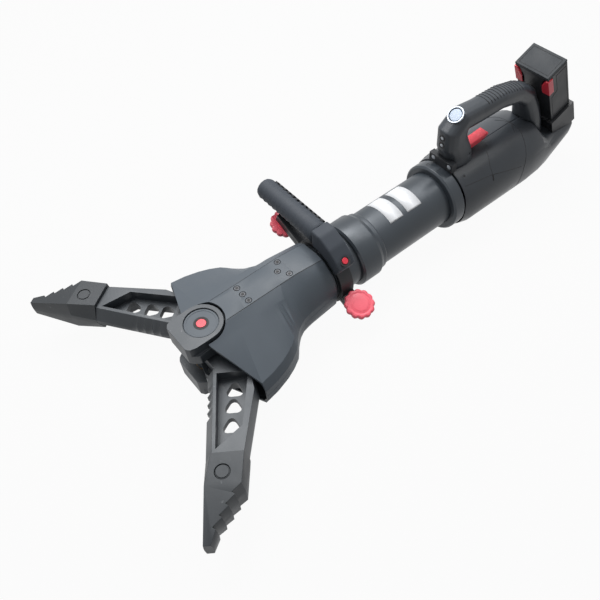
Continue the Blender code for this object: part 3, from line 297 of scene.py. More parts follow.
# zinc plate on steel: a light grey metal with soft reflections
STEEL = finish("zinc_plated_steel", "#8d9093", 0.34, metallic=0.9)
# blackened steel: dark screw heads that still catch a point of light
BLACK_STEEL = finish("blackened_screw_steel", "#303236", 0.36, metallic=0.5, grain_mm=0.6)
# chrome, ground and polished: a clear mirror on the piston rod
CHROME = finish("hard_chrome", "#c9ccd0", 0.14, metallic=1.0, grain_mm=2.0, grain=0.05, cloud=0.03,
                spread=0.03)
# bronze, turned: a warm brown metal among the greys
BRONZE = finish("bearing_bronze", "#a98346", 0.38, metallic=0.9)
# brushed metal: a pale ring that stands out from the dark handle
SILVER = finish("brushed_silver_ring", "#8f959d", 0.34, metallic=0.8, cloud=0.05)

# %% [markdown]
# ## Polymers
#
# Casings, grips, knobs and buttons are moulded. On a polymer the highlight stays white and the colour comes
# from within, so none of these is metallic. They differ in dye, in gloss and in the grain of the mould, and
# the knobs' red is painted paler for the light on them.

# %% Polymers
# nylon with glass fibre, moulded: near black, with a fine texture that keeps a little gloss
NYLON = finish("black_glass_filled_nylon", "#222427", 0.44, grain=0.3, ior=DULL)
# the housing's own moulding: a shade paler and glossier than the nylon
CHARCOAL = finish("charcoal_moulding", "#383c41", 0.34, grain=0.25, ior=DULL)
# rubber from a blasted mould: so dull that its form shows with hardly a highlight
RUBBER = finish("slate_soft_rubber", "#343940", 0.62, grain_mm=0.9, grain=0.3, ior=DULL)
# the battery's lid, textured in the mould: a flat black
LID = finish("matt_black_lid", "#24282c", 0.6, grain_mm=0.9, grain=0.25, ior=DULL)
# nylon dyed right through: an even red with the gloss of a smooth mould
RED = finish("red_nylon", "#cf3142", 0.4, grain=0.2, cloud=0.06)
# the same red nylon, painted paler to stand for the light on the knobs: they look lighter than the latches
PAINTED_LIT_RED = finish("red_nylon_painted_lit", "#ec6272", 0.42, grain=0.2, cloud=0.06)
# a cap moulded in milky plastic: pale, smooth and a little blue
BUTTON = finish("milky_button_cap", "#93a3b8", 0.2, grain_mm=2.0, grain=0.05, cloud=0.04)
# glass-fibre laminate under varnish: a deep green with a satin face
BOARD = finish("circuit_board_laminate", "#235c38", 0.45)
# near black and matt, so that it hardly answers to light: the dark lines of seams and slots, the dark ring,
# boss and bezels, and painted shade in the unlit depth of screw sockets
BLACK_AND_PAINTED_SHADE = finish("matt_black_and_painted_shade", "#101012", 0.7)
# plain film: an even off-white with a faint sheen
LABEL = finish("white_label_film", "#cfd1d4", 0.38, grain_mm=1.2, grain=0.05, cloud=0.03)
# a polished lens over a lamp bowl: its pale grey is painted brightness, and the sharp glint comes from its
# gloss
LENS_PAINTED_BRIGHT = finish("lamp_lens_painted_bright", "#aab0b7", 0.12, grain_mm=2.0, grain=0.05, cloud=0.02)

# %% [markdown]
# ## Copies of the solids
#
# A solid from the frame has knife-sharp edges, and it stays as it is. A copy of it takes the finish, stands
# for the solid in the picture and rides on the same body. The copy's loose triangles are merged first and
# joined to whole faces, because a bevel needs to know which faces meet at an edge.

# %% Copies
BODY_OF = {name: body for body, names in frame["record"]["behaviour"]["bodies"].items() for name in names}


def plain_mesh(obj):
    """Apply the modifiers of an object to its mesh."""
    bpy.context.view_layer.update()
    graph = bpy.context.evaluated_depsgraph_get()
    made = bpy.data.meshes.new_from_object(obj.evaluated_get(graph))
    obj.modifiers.clear()
    obj.data = made
    return obj


def merged(node):
    """The node's mesh as whole faces, without doubled points."""
    bm = bmesh.new()
    bm.from_mesh(frame["nodes"][node].data)
    for layer in list(bm.loops.layers.uv):
        bm.loops.layers.uv.remove(layer)
    bmesh.ops.remove_doubles(bm, verts=bm.verts, dist=2e-6)
    bmesh.ops.dissolve_limit(bm, angle_limit=math.radians(0.6), verts=bm.verts, edges=bm.edges)
    return bm


def skin_of(node, material):
    """A copy of a node's mesh with a finish, as an object of its own."""
    mesh = bpy.data.meshes.new(node + "_skin")
    bm = merged(node)
    bm.to_mesh(mesh)
    bm.free()
    mesh.materials.append(material)
    mesh.shade_smooth()
    piece = bpy.data.objects.new(node + "_skin", mesh)
    bpy.context.scene.collection.objects.link(piece)
    return piece


def stand_for(piece, node):
    """Let a piece stand for a node, on the node's body; the node is hidden."""
    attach(piece, BODY_OF[node])
    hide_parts(node)
    return piece


# %% [markdown]
# ## Rounded edges and soft forms
#
# Coating and moulding round every edge by about a millimetre, and a Bevel modifier does the same. Soft
# mouldings such as the rear handle have hardly an edge left. A Subdivision Surface would need their faces
# laid out anew, so they are rebuilt in small cells and relaxed instead.

# %% Rounding
SHARP = 32.0            # faces that meet at more than this, in degrees, share a rounded edge


def soften(node, material, cell_mm, rounds):
    """Rebuild a node in small cells and smooth them, for soft moulded forms."""
    piece = skin_of(node, material)
    cells = piece.modifiers.new("cells", "REMESH")
    cells.mode = "VOXEL"
    cells.voxel_size = cell_mm * MM
    cells.use_smooth_shade = True
    relax = piece.modifiers.new("relaxed", "SMOOTH")
    relax.factor = 0.5
    relax.iterations = rounds
    return stand_for(plain_mesh(piece), node)


def dress(node, material, round_mm):
    """Round a node's edges, give it a finish, and let it stand for the node."""
    piece = skin_of(node, material)
    piece.data.set_sharp_from_angle(angle=math.radians(SHARP))
    if round_mm:
        bevel = piece.modifiers.new("rounded", "BEVEL")
        bevel.width = round_mm * MM
        bevel.segments = 2
        bevel.limit_method = "ANGLE"
        bevel.angle_limit = math.radians(SHARP)
        bevel.use_clamp_overlap = True
        bevel.harden_normals = True
        plain_mesh(piece)
    return stand_for(piece, node)


print("edges are rounded past", SHARP, "degrees")

# %% [markdown]
# ## Coats
#
# The outer solids get their finish and their rounding. Each could have a line of its own; a table shows at
# a glance which pieces share a coat, as they would on the paint line or in the mould. The rear handle, the
# bracket of the carrying handle, the trigger and the latches are the soft forms.

# %% Coats
# finish, rounding in millimetres, nodes
COATS = (
    (SLATE, 1.2, "top_cover bottom_cover"),
    (SLATE, 0.8, "pivot_cap"),
    (LID, 0.8, "battery_lid"),
    (CHARCOAL, 1.0, "left_housing right_housing"),
    (ANODISED, 0.6, "neck_ring cylinder_tube barrel_sleeve rear_collar"),
    (FORGED, 1.5, "yoke"),
    (FORGED, 1.2, "left_arm right_arm"),
    (TIP, 1.0, "left_tip right_tip"),
    (TIP, 0.5, "left_tip_lock right_tip_lock"),
    (NYLON, 1.2, "upper_clamp lower_clamp lamp_block battery_dock battery_case"),
    (RUBBER, 0.0, "handle_grip"),
    (RED, 0.5, "cap_dot handle_button"),
)
for coat, rounding, names in COATS:
    for name in names.split():
        dress(name, coat, rounding)

# finish, cell in millimetres, rounds of smoothing, nodes
SOFT = (
    (CHARCOAL, 1.3, 10, "rear_handle"),
    (RUBBER, 1.1, 70, "handle_bracket"),
    (RED, 0.6, 14, "trigger left_latch right_latch"),
)
for coat, cell, rounds, names in SOFT:
    for name in names.split():
        soften(name, coat, cell, rounds)
print("dressed pieces:", sum(len(row[-1].split()) for row in COATS + SOFT))

# %% [markdown]
# ## Inner pieces
#
# Pins, links, the piston, the motor and the board lie inside or show only an end. Their solids are shown as
# they are, with a better finish in their material slots, because rounding would hardly be seen on them.

# %% Inner pieces
PLAIN = {
    STEEL: "left_lever_pin right_lever_pin left_link right_link crosshead left_crosshead_pin "
           "right_crosshead_pin piston pivot_bolt end_plug near_clamp_bolt far_clamp_bolt trigger_pin motor",
    BLACK_STEEL: "cover_screw_1 cover_screw_2 cover_screw_3 cover_screw_4 cover_screw_5 cover_screw_6",
    CHROME: "piston_rod",
    BRONZE: "gland upper_washer lower_washer",
    RUBBER: "piston_seal",
    SLATE: "pump_block",
    BOARD: "control_board",
}
for coat, names in PLAIN.items():
    for name in names.split():
        coats_of_node = frame["nodes"][name].data.materials
        coats_of_node.clear()
        coats_of_node.append(coat)
print("inner pieces:", sum(len(names.split()) for names in PLAIN.values()))

# %% [markdown]
# ## Finding places on the solids
#
# Seams, screws and lenses have to lie on the surface that carries them. Their places could be typed in, but
# they would float or sink wherever the surface curves. A ray shot at a solid gives the place and the way the
# surface faces. Round parts are aimed at by their distance along the barrel and an angle round it; the cover
# and the rear grip are aimed at from above.

# %% Rays


def surface(*names):
    """The triangles of some nodes, for finding where a ray lands."""
    bm = bmesh.new()
    for name in names:
        bm.from_mesh(frame["nodes"][name].data)
    solid = BVHTree.FromBMesh(bm)
    bm.free()
    return solid


def toward_axis(solid, x, degrees):
    """Where a ray towards the barrel's axis lands, and the surface's normal there."""
    angle = math.radians(degrees)
    out = Vector((0.0, math.cos(angle), math.sin(angle)))
    spot, normal = solid.ray_cast(Vector((x, 0.0, AXIS_H)) + 0.2 * out, -out)[:2]
    if spot is None:
        return toward_axis(solid, x, degrees + 0.5)  # it went through the gap between two halves
    return spot, normal


def downward(solid, x, y):
    """Where a ray from above lands."""
    return solid.ray_cast(Vector((x, y, 0.5)), Vector((0.0, 0.0, -1.0)))[0]


def between(stations, steps=10):
    """Points shared out evenly along a chain of stations."""
    chain = []
    for first, second in zip(stations, stations[1:]):
        for i in range(steps):
            chain.append([a + (b - a) * i / steps for a, b in zip(first, second)])
    chain.append(list(stations[-1]))
    return chain


housing = surface("left_housing", "right_housing")
collar = surface("rear_collar")
cover = surface("top_cover")
rear_grip = surface("rear_handle")
print("housing top at", round(toward_axis(housing, -0.545, 90)[0].z, 4))

# %% [markdown]
# ## Trees of Geometry Nodes
#
# What repeats, or follows a path, is made by a tree with named sizes, so that one tree serves many pieces.
# Two helpers open and close a tree. Each tree ends in real geometry with its finish set, because the pieces
# are handed on as plain meshes.

# %% Opening and closing a tree
FLOAT = "NodeSocketFloat"
COUNT = "NodeSocketInt"
VECTOR = "NodeSocketVector"
FINISH = "NodeSocketMaterial"


def new_tree(name, sizes):
    """An empty Geometry Nodes tree with named sizes, and the sockets that give them."""
    tree = bpy.data.node_groups.new(name, "GeometryNodeTree")
    tree.interface.new_socket("Geometry", in_out="INPUT", socket_type="NodeSocketGeometry")
    for size, kind in sizes.items():
        tree.interface.new_socket(size, in_out="INPUT", socket_type=kind)
    tree.interface.new_socket("Geometry", in_out="OUTPUT", socket_type="NodeSocketGeometry")
    return tree, tree.nodes.new("NodeGroupInput").outputs


def end_tree(tree, shape, finish_socket):
    """Close a tree: real geometry, with its finish."""
    real = add(tree, "GeometryNodeRealizeInstances", {"Geometry": shape})
    coated = add(tree, "GeometryNodeSetMaterial", {"Geometry": real.outputs[0], "Material": finish_socket})
    add(tree, "NodeGroupOutput", {"Geometry": coated.outputs[0]})
    print(tree.name + ":", len(tree.nodes), "nodes")


print("kinds of size:", FLOAT, COUNT, VECTOR, FINISH)

# %% [markdown]
# ## A bead on a path
#
# The first tree carries a six-sided bead along any chain of edges, for seams and panel lines. A joint between
# two mouldings is a narrow gap that the eye reads as a dark line. A Boolean could cut it, but a dark bead
# half sunk in the surface looks the same and leaves the solid whole.

# %% Bead on a path
bead_tree, given = new_tree("bead_on_path", {"Radius": FLOAT, "Finish": FINISH})
path = add(bead_tree, "GeometryNodeMeshToCurve", {"Mesh": given["Geometry"]})
ring = add(bead_tree, "GeometryNodeCurvePrimitiveCircle", {"Resolution": 6, "Radius": given["Radius"]})
bead = add(bead_tree, "GeometryNodeCurveToMesh",
           {"Curve": path.outputs[0], "Profile Curve": ring.outputs[0], "Fill Caps": True})
end_tree(bead_tree, bead.outputs[0], given["Finish"])

# %% [markdown]
# ## A stub on every point
#
# The second tree stands a short stub on every point, along the way that the point faces. In a near-black
# finish the stubs are painted shade for the hexagonal sockets of screws, which are not cut. Copies placed by
# hand would do for the level cover, but a stub that reads its direction from the point also fits the round
# housing.

# %% Stub on points
stub_tree, given = new_tree("stub_on_points", {"Sides": COUNT, "Foot": FLOAT, "Top": FLOAT, "Depth": FLOAT,
                                               "Finish": FINISH})
facing = add(stub_tree, "GeometryNodeInputNamedAttribute", {"Name": "facing"}, data_type="FLOAT_VECTOR")
turn = add(stub_tree, "FunctionNodeAlignRotationToVector", {"Vector": facing.outputs[0]}, axis="Z")
stub = add(stub_tree, "GeometryNodeMeshCone", {"Vertices": given["Sides"], "Radius Top": given["Top"],
                                               "Radius Bottom": given["Foot"], "Depth": given["Depth"]})
stubs = add(stub_tree, "GeometryNodeInstanceOnPoints", {"Points": given["Geometry"],
                                                        "Instance": stub.outputs[0],
                                                        "Rotation": turn.outputs[0]})
end_tree(stub_tree, stubs.outputs[0], given["Finish"])

# %% [markdown]
# ## A row of ribs
#
# The third tree sets a row of leaning blocks at an even step, for the teeth of the carrying grip. An Array
# modifier would repeat them as well; in a tree, count, step, size and lean are inputs side by side.

# %% Row of ribs
row_tree, given = new_tree("row_of_ribs", {"Count": COUNT, "Start": VECTOR, "Step": VECTOR, "Size": VECTOR,
                                           "Turn": VECTOR, "Finish": FINISH})
row = add(row_tree, "GeometryNodeMeshLine", {"Count": given["Count"], "Start Location": given["Start"],
                                             "Offset": given["Step"]})
rib = add(row_tree, "GeometryNodeMeshCube", {"Size": given["Size"]})
leaning = add(row_tree, "FunctionNodeEulerToRotation", {"Euler": given["Turn"]})
ribs = add(row_tree, "GeometryNodeInstanceOnPoints", {"Points": row.outputs[0], "Instance": rib.outputs[0],
                                                      "Rotation": leaning.outputs[0]})
end_tree(row_tree, ribs.outputs[0], given["Finish"])

# %% [markdown]
# ## Growing a tree
#
# A tree grows as a modifier on a mesh, and its sizes are set by the identifiers of its sockets. It could stay
# live, but the pieces are handed on without trees, so the result is turned to a plain mesh, and only then
# does it ride on a body.

# %% Growing a tree
CREASE = 40.0           # faces that meet at more than this, in degrees, keep a crisp edge


def settle(piece, body):
    """Let a finished piece ride on its body."""
    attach(piece, body)
    return piece


def run_tree(name, tree, mesh, body, slot, soft=0.0, **sizes):
    """Grow a tree on a mesh with these sizes, as one plain piece; soft rounds its edges, in millimetres."""
    piece = bpy.data.objects.new(name, mesh)
    bpy.context.scene.collection.objects.link(piece)
    modifier = piece.modifiers.new(name, "NODES")
    modifier.node_group = tree
    for item in tree.interface.items_tree:
        if item.in_out == "INPUT" and item.name in sizes:
            modifier[item.identifier] = sizes[item.name]
    if soft:
        rounding = piece.modifiers.new("rounded", "BEVEL")
        rounding.width = soft * MM
        rounding.segments = 2
    plain_mesh(piece)
    piece.data.shade_smooth()
    piece.data.set_sharp_from_angle(angle=math.radians(CREASE))
    return settle(piece, body)


print("trees to grow:", [tree.name for tree in bpy.data.node_groups])

# %% [markdown]
# ## Seams and sockets
#
# A tree needs something to grow on: bare edges for beads and bare points for stubs. A point also keeps the
# way that it faces, as an attribute that the tree reads. Curves would do for the edges, but a mesh takes
# both.

# %% Seams and sockets


def chain_mesh(name, chains, closed=False):
    """A mesh of bare edges along some chains of points."""
    bm = bmesh.new()
    for chain in chains:
        points = [bm.verts.new(point) for point in chain]
        for first, second in zip(points, points[1:]):
            bm.edges.new((first, second))
        if closed:
            bm.edges.new((points[-1], points[0]))
    mesh = bpy.data.meshes.new(name)
    bm.to_mesh(mesh)
    bm.free()
    return mesh


def point_mesh(name, places):
    """A mesh of bare points, each with the way that it faces."""
    mesh = bpy.data.meshes.new(name)
    mesh.from_pydata([place for place, facing in places], [], [])
    layer = mesh.attributes.new("facing", "FLOAT_VECTOR", "POINT")
    for item, (place, facing) in zip(layer.data, places):
        item.vector = facing
    return mesh


def seams(name, chains, body, slot, coat, radius_mm, closed=False):
    """Beads along chains of points: half of each lies in the surface."""
    return run_tree(name, bead_tree, chain_mesh(name, chains, closed), body, slot,
                    Radius=radius_mm * MM, Finish=coat)


def painted_socket_shade(name, places, body, slot, coat, radius_mm, depth_mm):
    """A dark hexagonal stub on each place: painted shade for the socket of a screw."""
    return run_tree(name, stub_tree, point_mesh(name, places), body, slot, Sides=6, Foot=radius_mm * MM,
                    Top=radius_mm * MM, Depth=depth_mm * MM, Finish=coat)


print("inputs of a socket:", [item.name for item in stub_tree.interface.items_tree if item.in_out == "INPUT"])

# %% [markdown]
# ## Turned details
#
# Rings, lenses and domes are turned on a lathe, or moulded in a turned mould. A Screw modifier could carry
# their profiles round. A short function was chosen because it also stands the shape on a surface and can
# scallop its rim.

# %% Turned shapes
LOBES = 12              # round the rim of a star knob


def upright_on(spot, facing):
    """A matrix that stands a piece on a spot, along the way that the spot faces."""
    return Matrix.Translation(spot) @ Vector(facing).to_track_quat("Z", "Y").to_matrix().to_4x4()


def turned(name, profile, places, coat, body, steps=32, lobe=0.0):
    """Turn a profile of radius and height on each place; lobe scallops the rim. All in millimetres."""
    widest = max(radius for radius, height in profile)
    bm = bmesh.new()
    for spot, facing in places:
        stand = upright_on(spot, facing)
        rings = []
        for radius, height in profile:
            ring = []
            for i in range(steps):
                angle = 2 * math.pi * i / steps
                wave = 2 * abs(math.cos(LOBES / 2 * angle)) - 1
                reach = radius + lobe * wave * (radius / widest) ** 6  # the wave fades away from the rim
                point = Vector((reach * math.cos(angle), reach * math.sin(angle), height)) * MM
                ring.append(bm.verts.new(stand @ point))
            rings.append(ring)
        for first, second in zip(rings, rings[1:] + rings[:1]):
            for i in range(steps):
                j = (i + 1) % steps
                bm.faces.new((first[i], first[j], second[j], second[i]))
    bmesh.ops.remove_doubles(bm, verts=bm.verts, dist=1e-7)
    bmesh.ops.recalc_face_normals(bm, faces=bm.faces)
    mesh = bpy.data.meshes.new(name)
    bm.to_mesh(mesh)
    bm.free()
    mesh.materials.append(coat)
    mesh.shade_smooth()
    mesh.set_sharp_from_angle(angle=math.radians(38))
    piece = bpy.data.objects.new(name, mesh)
    bpy.context.scene.collection.objects.link(piece)
    return settle(piece, body)


print("a star knob has", LOBES, "lobes")

# %% [markdown]
# ## Profiles
#
# Two profiles come back on many pieces, in millimetres of radius and height. One that ends on the axis makes
# a dome, for lenses and caps. A closed one makes a flat band, for rims and bezels. Both reach a little under
# the surface that they stand on, so that no gap shows where it curves.

# %% Profiles


def dome(radius, rise):
    """A profile from a rim up to a domed middle; its foot is a flat disc on the axis."""
    return [(0.0, -0.6), (radius, -0.6), (radius, 0.3 * rise), (0.8 * radius, 0.75 * rise),
            (0.45 * radius, 0.95 * rise), (0.0, rise)]


def band(inner, outer, rise):
    """A closed profile of a flat ring with softened edges."""
    return [(inner, -0.5), (outer, -0.5), (outer, 0.7 * rise), (outer - 0.3 * rise, rise),
            (inner + 0.3 * rise, rise), (inner, 0.7 * rise)]


print("points in a profile:", len(dome(1.0, 1.0)), "for a dome,", len(band(1.0, 2.0, 0.1)), "for a band")

# %% [markdown]
# ## Cover and cap
#
# Two coated covers close the fork that carries the arms. A thin seam runs along each side of the upper
# cover's spine. The six screws are socket heads sunk in counterbores, so each gets a rim and a dark hexagon,
# placed from the screw's own box; the hexagon is painted shade for the socket, which is not cut. The cap over
# the central bolt has a black ring round its red dot. The ring could be a colour in the cap's finish; a thin
# band was chosen, which has an edge of its own.

# %% Cover and cap
UPWARD = (0.0, 0.0, 1.0)
SPINE_SEAM_Y = 0.0225
SPINE_FRONT = -0.031
SPINE_REAR = -0.2045
spine_seams = []
for side in (1, -1):
    chain = between([(SPINE_FRONT, side * SPINE_SEAM_Y), (SPINE_REAR, side * SPINE_SEAM_Y)], 40)
    spine_seams.append([downward(cover, x, y) for x, y in chain])
seams("spine_seams", spine_seams, "frame", "slate_moulding", BLACK_AND_PAINTED_SHADE, radius_mm=0.4)
screw_heads = []
for number in range(1, 7):
    low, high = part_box(f"cover_screw_{number}")
    head = ((low[0] + high[0]) / 2, (low[1] + high[1]) / 2, high[2])
    screw_heads.append((head, UPWARD))
# the dark hexagons are painted shade in the screws' sockets
painted_socket_shade("screw_socket_shade", screw_heads, "frame", "plated_steel", BLACK_AND_PAINTED_SHADE, radius_mm=2.5, depth_mm=0.12)
turned("screw_rims", band(3.1, 4.2, 0.16), screw_heads, BLACK_STEEL, "frame", 24)
low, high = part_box("pivot_cap")
cap_top = [((0.0, 0.0, high[2]), UPWARD)]
turned("cap_ring", band(7.9, 11.5, 0.15), cap_top, BLACK_AND_PAINTED_SHADE, "frame", 40)
turned("cap_rim", band(22.0, 24.6, 0.5), cap_top, SLATE, "frame", 48)
print("cover: seams", len(spine_seams), "screws", len(screw_heads))

# %% [markdown]
# ## Teeth and button of the carrying handle
#
# The handle's grip has teeth along its rear edge against slipping, moulded in one row. They could be cut in
# the grip; a tree sets them instead, half sunk in it, so that no gap shows under them. The button that frees
# the handle sits in a round boss, turned as one ring.

# %% Teeth and button
GRIP_AT = (-0.226, 0.074 + AXIS_H)      # the grip's axis, in X and Z
GRIP_R = 0.018
TOOTH_TURN = math.radians(148)          # where the teeth lie round the grip, from +X towards +Z
TOOTH_OUT = GRIP_R - 0.0002             # from the grip's axis to the middle of a tooth
TOOTH_SIZE = (0.0046, 0.0056, 0.0075)
TOOTH_STEP = (0.0, -0.0103, 0.0)
FIRST_TOOTH_Y = -0.018
TEETH = 12
tooth_x = GRIP_AT[0] + TOOTH_OUT * math.cos(TOOTH_TURN)
tooth_z = GRIP_AT[1] + TOOTH_OUT * math.sin(TOOTH_TURN)
run_tree("grip_teeth", row_tree, bpy.data.meshes.new("grip_teeth"), "carrying_handle", "grip_rubber", 0.5,
         Count=TEETH, Start=(tooth_x, FIRST_TOOTH_Y, tooth_z), Step=TOOTH_STEP, Size=TOOTH_SIZE,
         Turn=(0.0, math.pi - TOOTH_TURN, 0.0), Finish=NYLON)
BUTTON_TURN = math.radians(50)          # where the button lies round the barrel, from +Y towards +Z
BUTTON_OUT = 0.0805                     # from the barrel's axis to the boss
BOSS = [(6.0, -4.0), (9.0, -4.0), (9.0, 0.2), (8.6, 0.6), (6.4, 0.6), (6.0, 0.2)]
button_way = Vector((0.0, math.cos(BUTTON_TURN), math.sin(BUTTON_TURN)))
button_at = Vector((GRIP_AT[0], 0.0, AXIS_H)) + BUTTON_OUT * button_way
turned("button_boss", BOSS, [(button_at, button_way)], BLACK_AND_PAINTED_SHADE, "carrying_handle")
print("handle: teeth", TEETH, "boss at", [round(value, 3) for value in button_at])

# %% [markdown]
# ## Star knobs
#
# Two star knobs clamp the handle to the barrel. They could be modelled lobe by lobe. They are turned
# instead, from one profile of hub, grip and face, and a wave on the radius scallops the rim. Each stands on
# the axis of its own joint, so it turns true.

# %% Star knobs
JOINT = {joint["name"]: joint for joint in frame["record"]["behaviour"]["joints"]}
STAR = [(2.8, 0.3), (11.7, 0.3), (11.7, 4.2), (20.4, 4.1), (22.4, 4.8), (23.5, 6.8), (23.5, 10.6),
        (22.8, 12.6), (21.2, 13.7), (19.0, 14.0), (17.6, 13.4), (16.6, 13.3), (15.6, 13.9), (9.0, 14.3),
        (2.8, 14.4)]
KNOB_FACE = 0.0142      # from the joint's point to the foot of the domed face
for side in ("near", "far"):
    joint = JOINT[side + "_knob_turn"]
    foot = Vector(joint["pos_m"])
    axis = Vector(joint["axis"])
    face = [(foot + KNOB_FACE * axis, axis)]
    # the knobs' paler red is painted light
    knob = turned(side + "_star", STAR, [(foot, axis)], PAINTED_LIT_RED, side + "_knob", 192, lobe=1.2)
    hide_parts(side + "_knob")
    turned(side + "_knob_face", dome(13.0, 0.8), face, PAINTED_LIT_RED, side + "_knob", 40)
print("star knobs:", 2 * max(radius for radius, height in STAR), "mm across, without the lobes")

# %% [markdown]
# ## Barrel
#
# The barrel is an anodised tube with a collar at its rear. Two bare white labels are wrapped on the tube. A
# label could be a colour in the tube's finish, but real film has an edge that catches light, so each is a
# thin sheet bent to the tube's radius. The collar carries a screw and a joint line.

# %% Barrel
TUBE_R = 0.048
LABEL_LIFT = 0.00015    # from the tube to the middle of the film
LABEL_FILM = 0.0002
LABEL_STEPS = 24
COLLAR_LINE = ((-0.459, 86), (-0.481, 86))      # distance along the barrel, degrees round it
COLLAR_SCREW = (-0.468, 109)


def wrapped_label(name, front, rear, start, stop):
    """A thin label round the tube between two distances along the barrel and two angles, in degrees."""
    bm = bmesh.new()
    columns = []
    for i in range(LABEL_STEPS + 1):
        angle = math.radians(start + (stop - start) * i / LABEL_STEPS)
        y = (TUBE_R + LABEL_LIFT) * math.cos(angle)
        z = (TUBE_R + LABEL_LIFT) * math.sin(angle) + AXIS_H
        columns.append([bm.verts.new((front, y, z)), bm.verts.new((rear, y, z))])
    for first, second in zip(columns, columns[1:]):
        bm.faces.new((first[0], second[0], second[1], first[1]))
    bmesh.ops.recalc_face_normals(bm, faces=bm.faces)
    mesh = bpy.data.meshes.new(name)
    bm.to_mesh(mesh)
    bm.free()
    mesh.materials.append(LABEL)
    mesh.shade_smooth()
    piece = bpy.data.objects.new(name, mesh)
    bpy.context.scene.collection.objects.link(piece)
    sheet = piece.modifiers.new("sheet", "SOLIDIFY")
    sheet.thickness = LABEL_FILM
    sheet.offset = 0.0
    plain_mesh(piece)
    return settle(piece, "frame")


wrapped_label("front_label", -0.342, -0.369, 56, 131)
wrapped_label("rear_label", -0.379, -0.409, 56, 128)
collar_line = [toward_axis(collar, x, degrees)[0] for x, degrees in between(COLLAR_LINE)]
seams("collar_line", [collar_line], "frame", "slate_anodising", BLACK_AND_PAINTED_SHADE, radius_mm=0.3)
collar_screw = [toward_axis(collar, *COLLAR_SCREW)]
turned("collar_screw", band(1.6, 3.2, 0.2), collar_screw, BLACK_STEEL, "frame", 24)
print("barrel: line of", len(collar_line), "points, screw at height", round(collar_screw[0][0].z, 4))

# %% [markdown]
# ## Rear housing
#
# The housing is moulded in panels. Their joints show as thin lines that curve round it, with a screw near the
# front and a dark slot where two panels meet. Lines drawn in a flat plan would leave a round shell, so theirs
# are stations along the barrel and round it, aimed at the solid, and they lie on it all round.

# %% Rear housing
HOUSING_LINES = (       # distances along the barrel, degrees round it
    ((-0.632, 112), (-0.645, 90), (-0.643, 66), (-0.630, 36), (-0.618, 8), (-0.612, -24)),
    ((-0.563, 68), (-0.548, 44), (-0.545, 26)),
    ((-0.488, 40), (-0.541, 33), (-0.612, 15)),
)
HOUSING_SLOT = ((-0.5465, 31), (-0.5448, 23))
HOUSING_SCREW = (-0.496, 54)


def on_side(stations, side):
    """Stations along and round the barrel, as given for the left side or mirrored for the right."""
    return [(x, degrees if side > 0 else 180 - degrees) for x, degrees in stations]


housing_lines = []
for stations in HOUSING_LINES:
    for side in (1, -1):
        line = on_side(between(stations), side)
        housing_lines.append([toward_axis(housing, x, degrees)[0] for x, degrees in line])
housing_slots = []
housing_screws = []
for side in (1, -1):
    line = between(on_side(HOUSING_SLOT, side), 6)
    housing_slots.append([toward_axis(housing, x, degrees)[0] for x, degrees in line])
    screw_x, screw_degrees = on_side([HOUSING_SCREW], side)[0]
    housing_screws.append(toward_axis(housing, screw_x, screw_degrees))
seams("housing_lines", housing_lines, "frame", "slate_moulding", BLACK_AND_PAINTED_SHADE, radius_mm=0.38)
turned("housing_screws", band(2.0, 4.2, 0.25), housing_screws, CHARCOAL, "frame", 24)
# the dark hexagons are painted shade in the screws' sockets
painted_socket_shade("housing_socket_shade", housing_screws, "frame", "slate_moulding", BLACK_AND_PAINTED_SHADE, radius_mm=1.8, depth_mm=0.4)
seams("housing_slots", housing_slots, "frame", "slate_moulding", BLACK_AND_PAINTED_SHADE, radius_mm=1.3)
print("housing: lines", len(housing_lines), "slots", len(housing_slots), "screws", len(housing_screws))

# %% [markdown]
# ## Rear grip and power button
#
# The rear grip has fine ribs across its top, against slipping. They follow the grip's crown, so they are
# beads on rays from above and not straight bars. The power button is a milky cap that a finger presses, in a
# bright metal ring. Both are turned on the same leaning axis.

# %% Rear grip and power button
RIBS = 13
RIB_FRONT = -0.562
RIB_STEP = 0.0068
RIB_HALF = 0.0145
ribs_across = []
for i in range(RIBS):
    x = RIB_FRONT - RIB_STEP * i
    ribs_across.append([downward(rear_grip, *at) for at in between([(x, -RIB_HALF), (x, RIB_HALF)], 12)])
seams("rear_grip_ribs", ribs_across, "frame", "black_nylon", NYLON, radius_mm=0.9)
POWER_AT = Vector((-0.501, 0.0, 0.150 + AXIS_H))
POWER_TILT = math.radians(35)
POWER_CAP = [(0.0, -3.0), (10.3, -3.0), (10.3, 0.2), (9.9, 0.7), (7.0, 1.0), (0.0, 1.0)]
RING_LIFT = 0.0004
power_way = Vector((math.sin(POWER_TILT), 0.0, math.cos(POWER_TILT)))
power_cap = turned("power_cap", POWER_CAP, [(POWER_AT, power_way)], BUTTON, "power_button", 40)
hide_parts("power_button")
ring_place = [(POWER_AT + RING_LIFT * power_way, power_way)]
turned("power_ring", band(11.4, 14.2, 1.6), ring_place, SILVER, "frame", 48)
print("rear grip: ribs", len(ribs_across), "power button at", [round(value, 3) for value in POWER_AT])
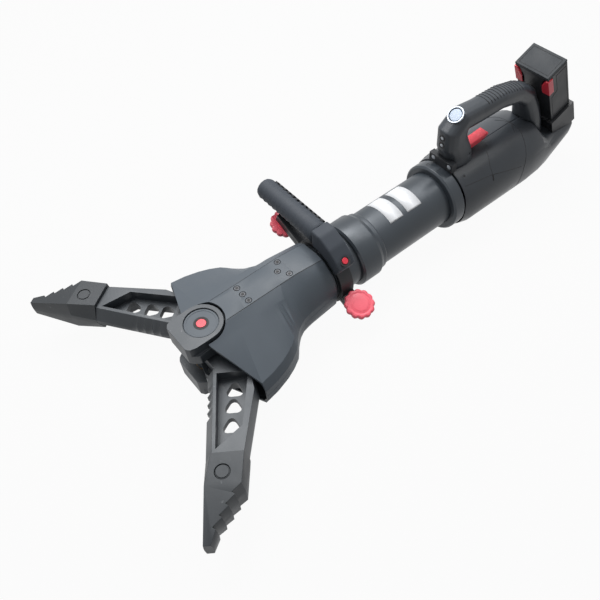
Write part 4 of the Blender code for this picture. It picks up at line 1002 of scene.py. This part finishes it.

# %% [markdown]
# ## Lenses
#
# Two small lenses look forward from the handle's post, each in a dark bezel, and two lamps from the block in
# front of it. They are domes rather than flat discs, because a dome shows a glint from most sides. Their pale
# grey is painted brightness.

# %% Lenses
FORWARD = (1.0, 0.0, 0.0)
REARWARD = Vector((-1.0, 0.0, 0.0))
POST_LENS_HEIGHTS = (0.119, 0.105)      # over the barrel's axis
LAMP_X = -0.4780
LAMP_Y = 0.0175
LAMP_HEIGHT = 0.0685                    # over the barrel's axis
post_places = []
for height in POST_LENS_HEIGHTS:
    post_places.append(rear_grip.ray_cast(Vector((0.0, 0.0, height + AXIS_H)), REARWARD)[:2])
turned("post_bezels", band(3.4, 5.6, 1.0), post_places, BLACK_AND_PAINTED_SHADE, "frame", 28)
# the lenses' pale grey is painted brightness
turned("post_lenses", dome(3.2, 1.2), post_places, LENS_PAINTED_BRIGHT, "frame", 24)
lamp_places = [((LAMP_X, side * LAMP_Y, LAMP_HEIGHT + AXIS_H), FORWARD) for side in (1, -1)]
turned("lamp_lenses", dome(4.6, 1.6), lamp_places, LENS_PAINTED_BRIGHT, "frame", 24)
print("lenses:", len(post_places), "on the post,", len(lamp_places), "on the block")

# %% [markdown]
# ## Battery
#
# The battery is a moulded case that slides into its dock at a lean. A fine line frames its top, and a panel
# line runs on each side. They are drawn flat in the battery's own leaning frame, where their corners are easy
# to read, and one matrix stands them on the case.

# %% Battery
BATTERY_FOOT = Vector((-0.717, 0.0, 0.040 + AXIS_H))
BATTERY_LEAN = math.radians(21)
BATTERY_TOP = 0.112
BATTERY_HALF = 0.0345
TOP_FRAME = ((-0.041, -0.0295), (-0.005, -0.0295), (-0.005, 0.0295), (-0.041, 0.0295))
SIDE_PANEL = ((-0.042, 0.008), (-0.005, 0.008), (-0.005, 0.058), (-0.019, 0.064), (-0.019, 0.100),
              (-0.042, 0.100))
battery_stand = Matrix.Translation(BATTERY_FOOT) @ Matrix.Rotation(BATTERY_LEAN, 4, "Y")
battery_loops = [[battery_stand @ Vector((x, y, BATTERY_TOP)) for x, y in TOP_FRAME]]
for side in (1, -1):
    battery_loops.append([battery_stand @ Vector((x, side * BATTERY_HALF, z)) for x, z in SIDE_PANEL])
seams("battery_lines", battery_loops, "battery", "black_nylon", BLACK_AND_PAINTED_SHADE, radius_mm=0.45, closed=True)
print("battery: loops", len(battery_loops))
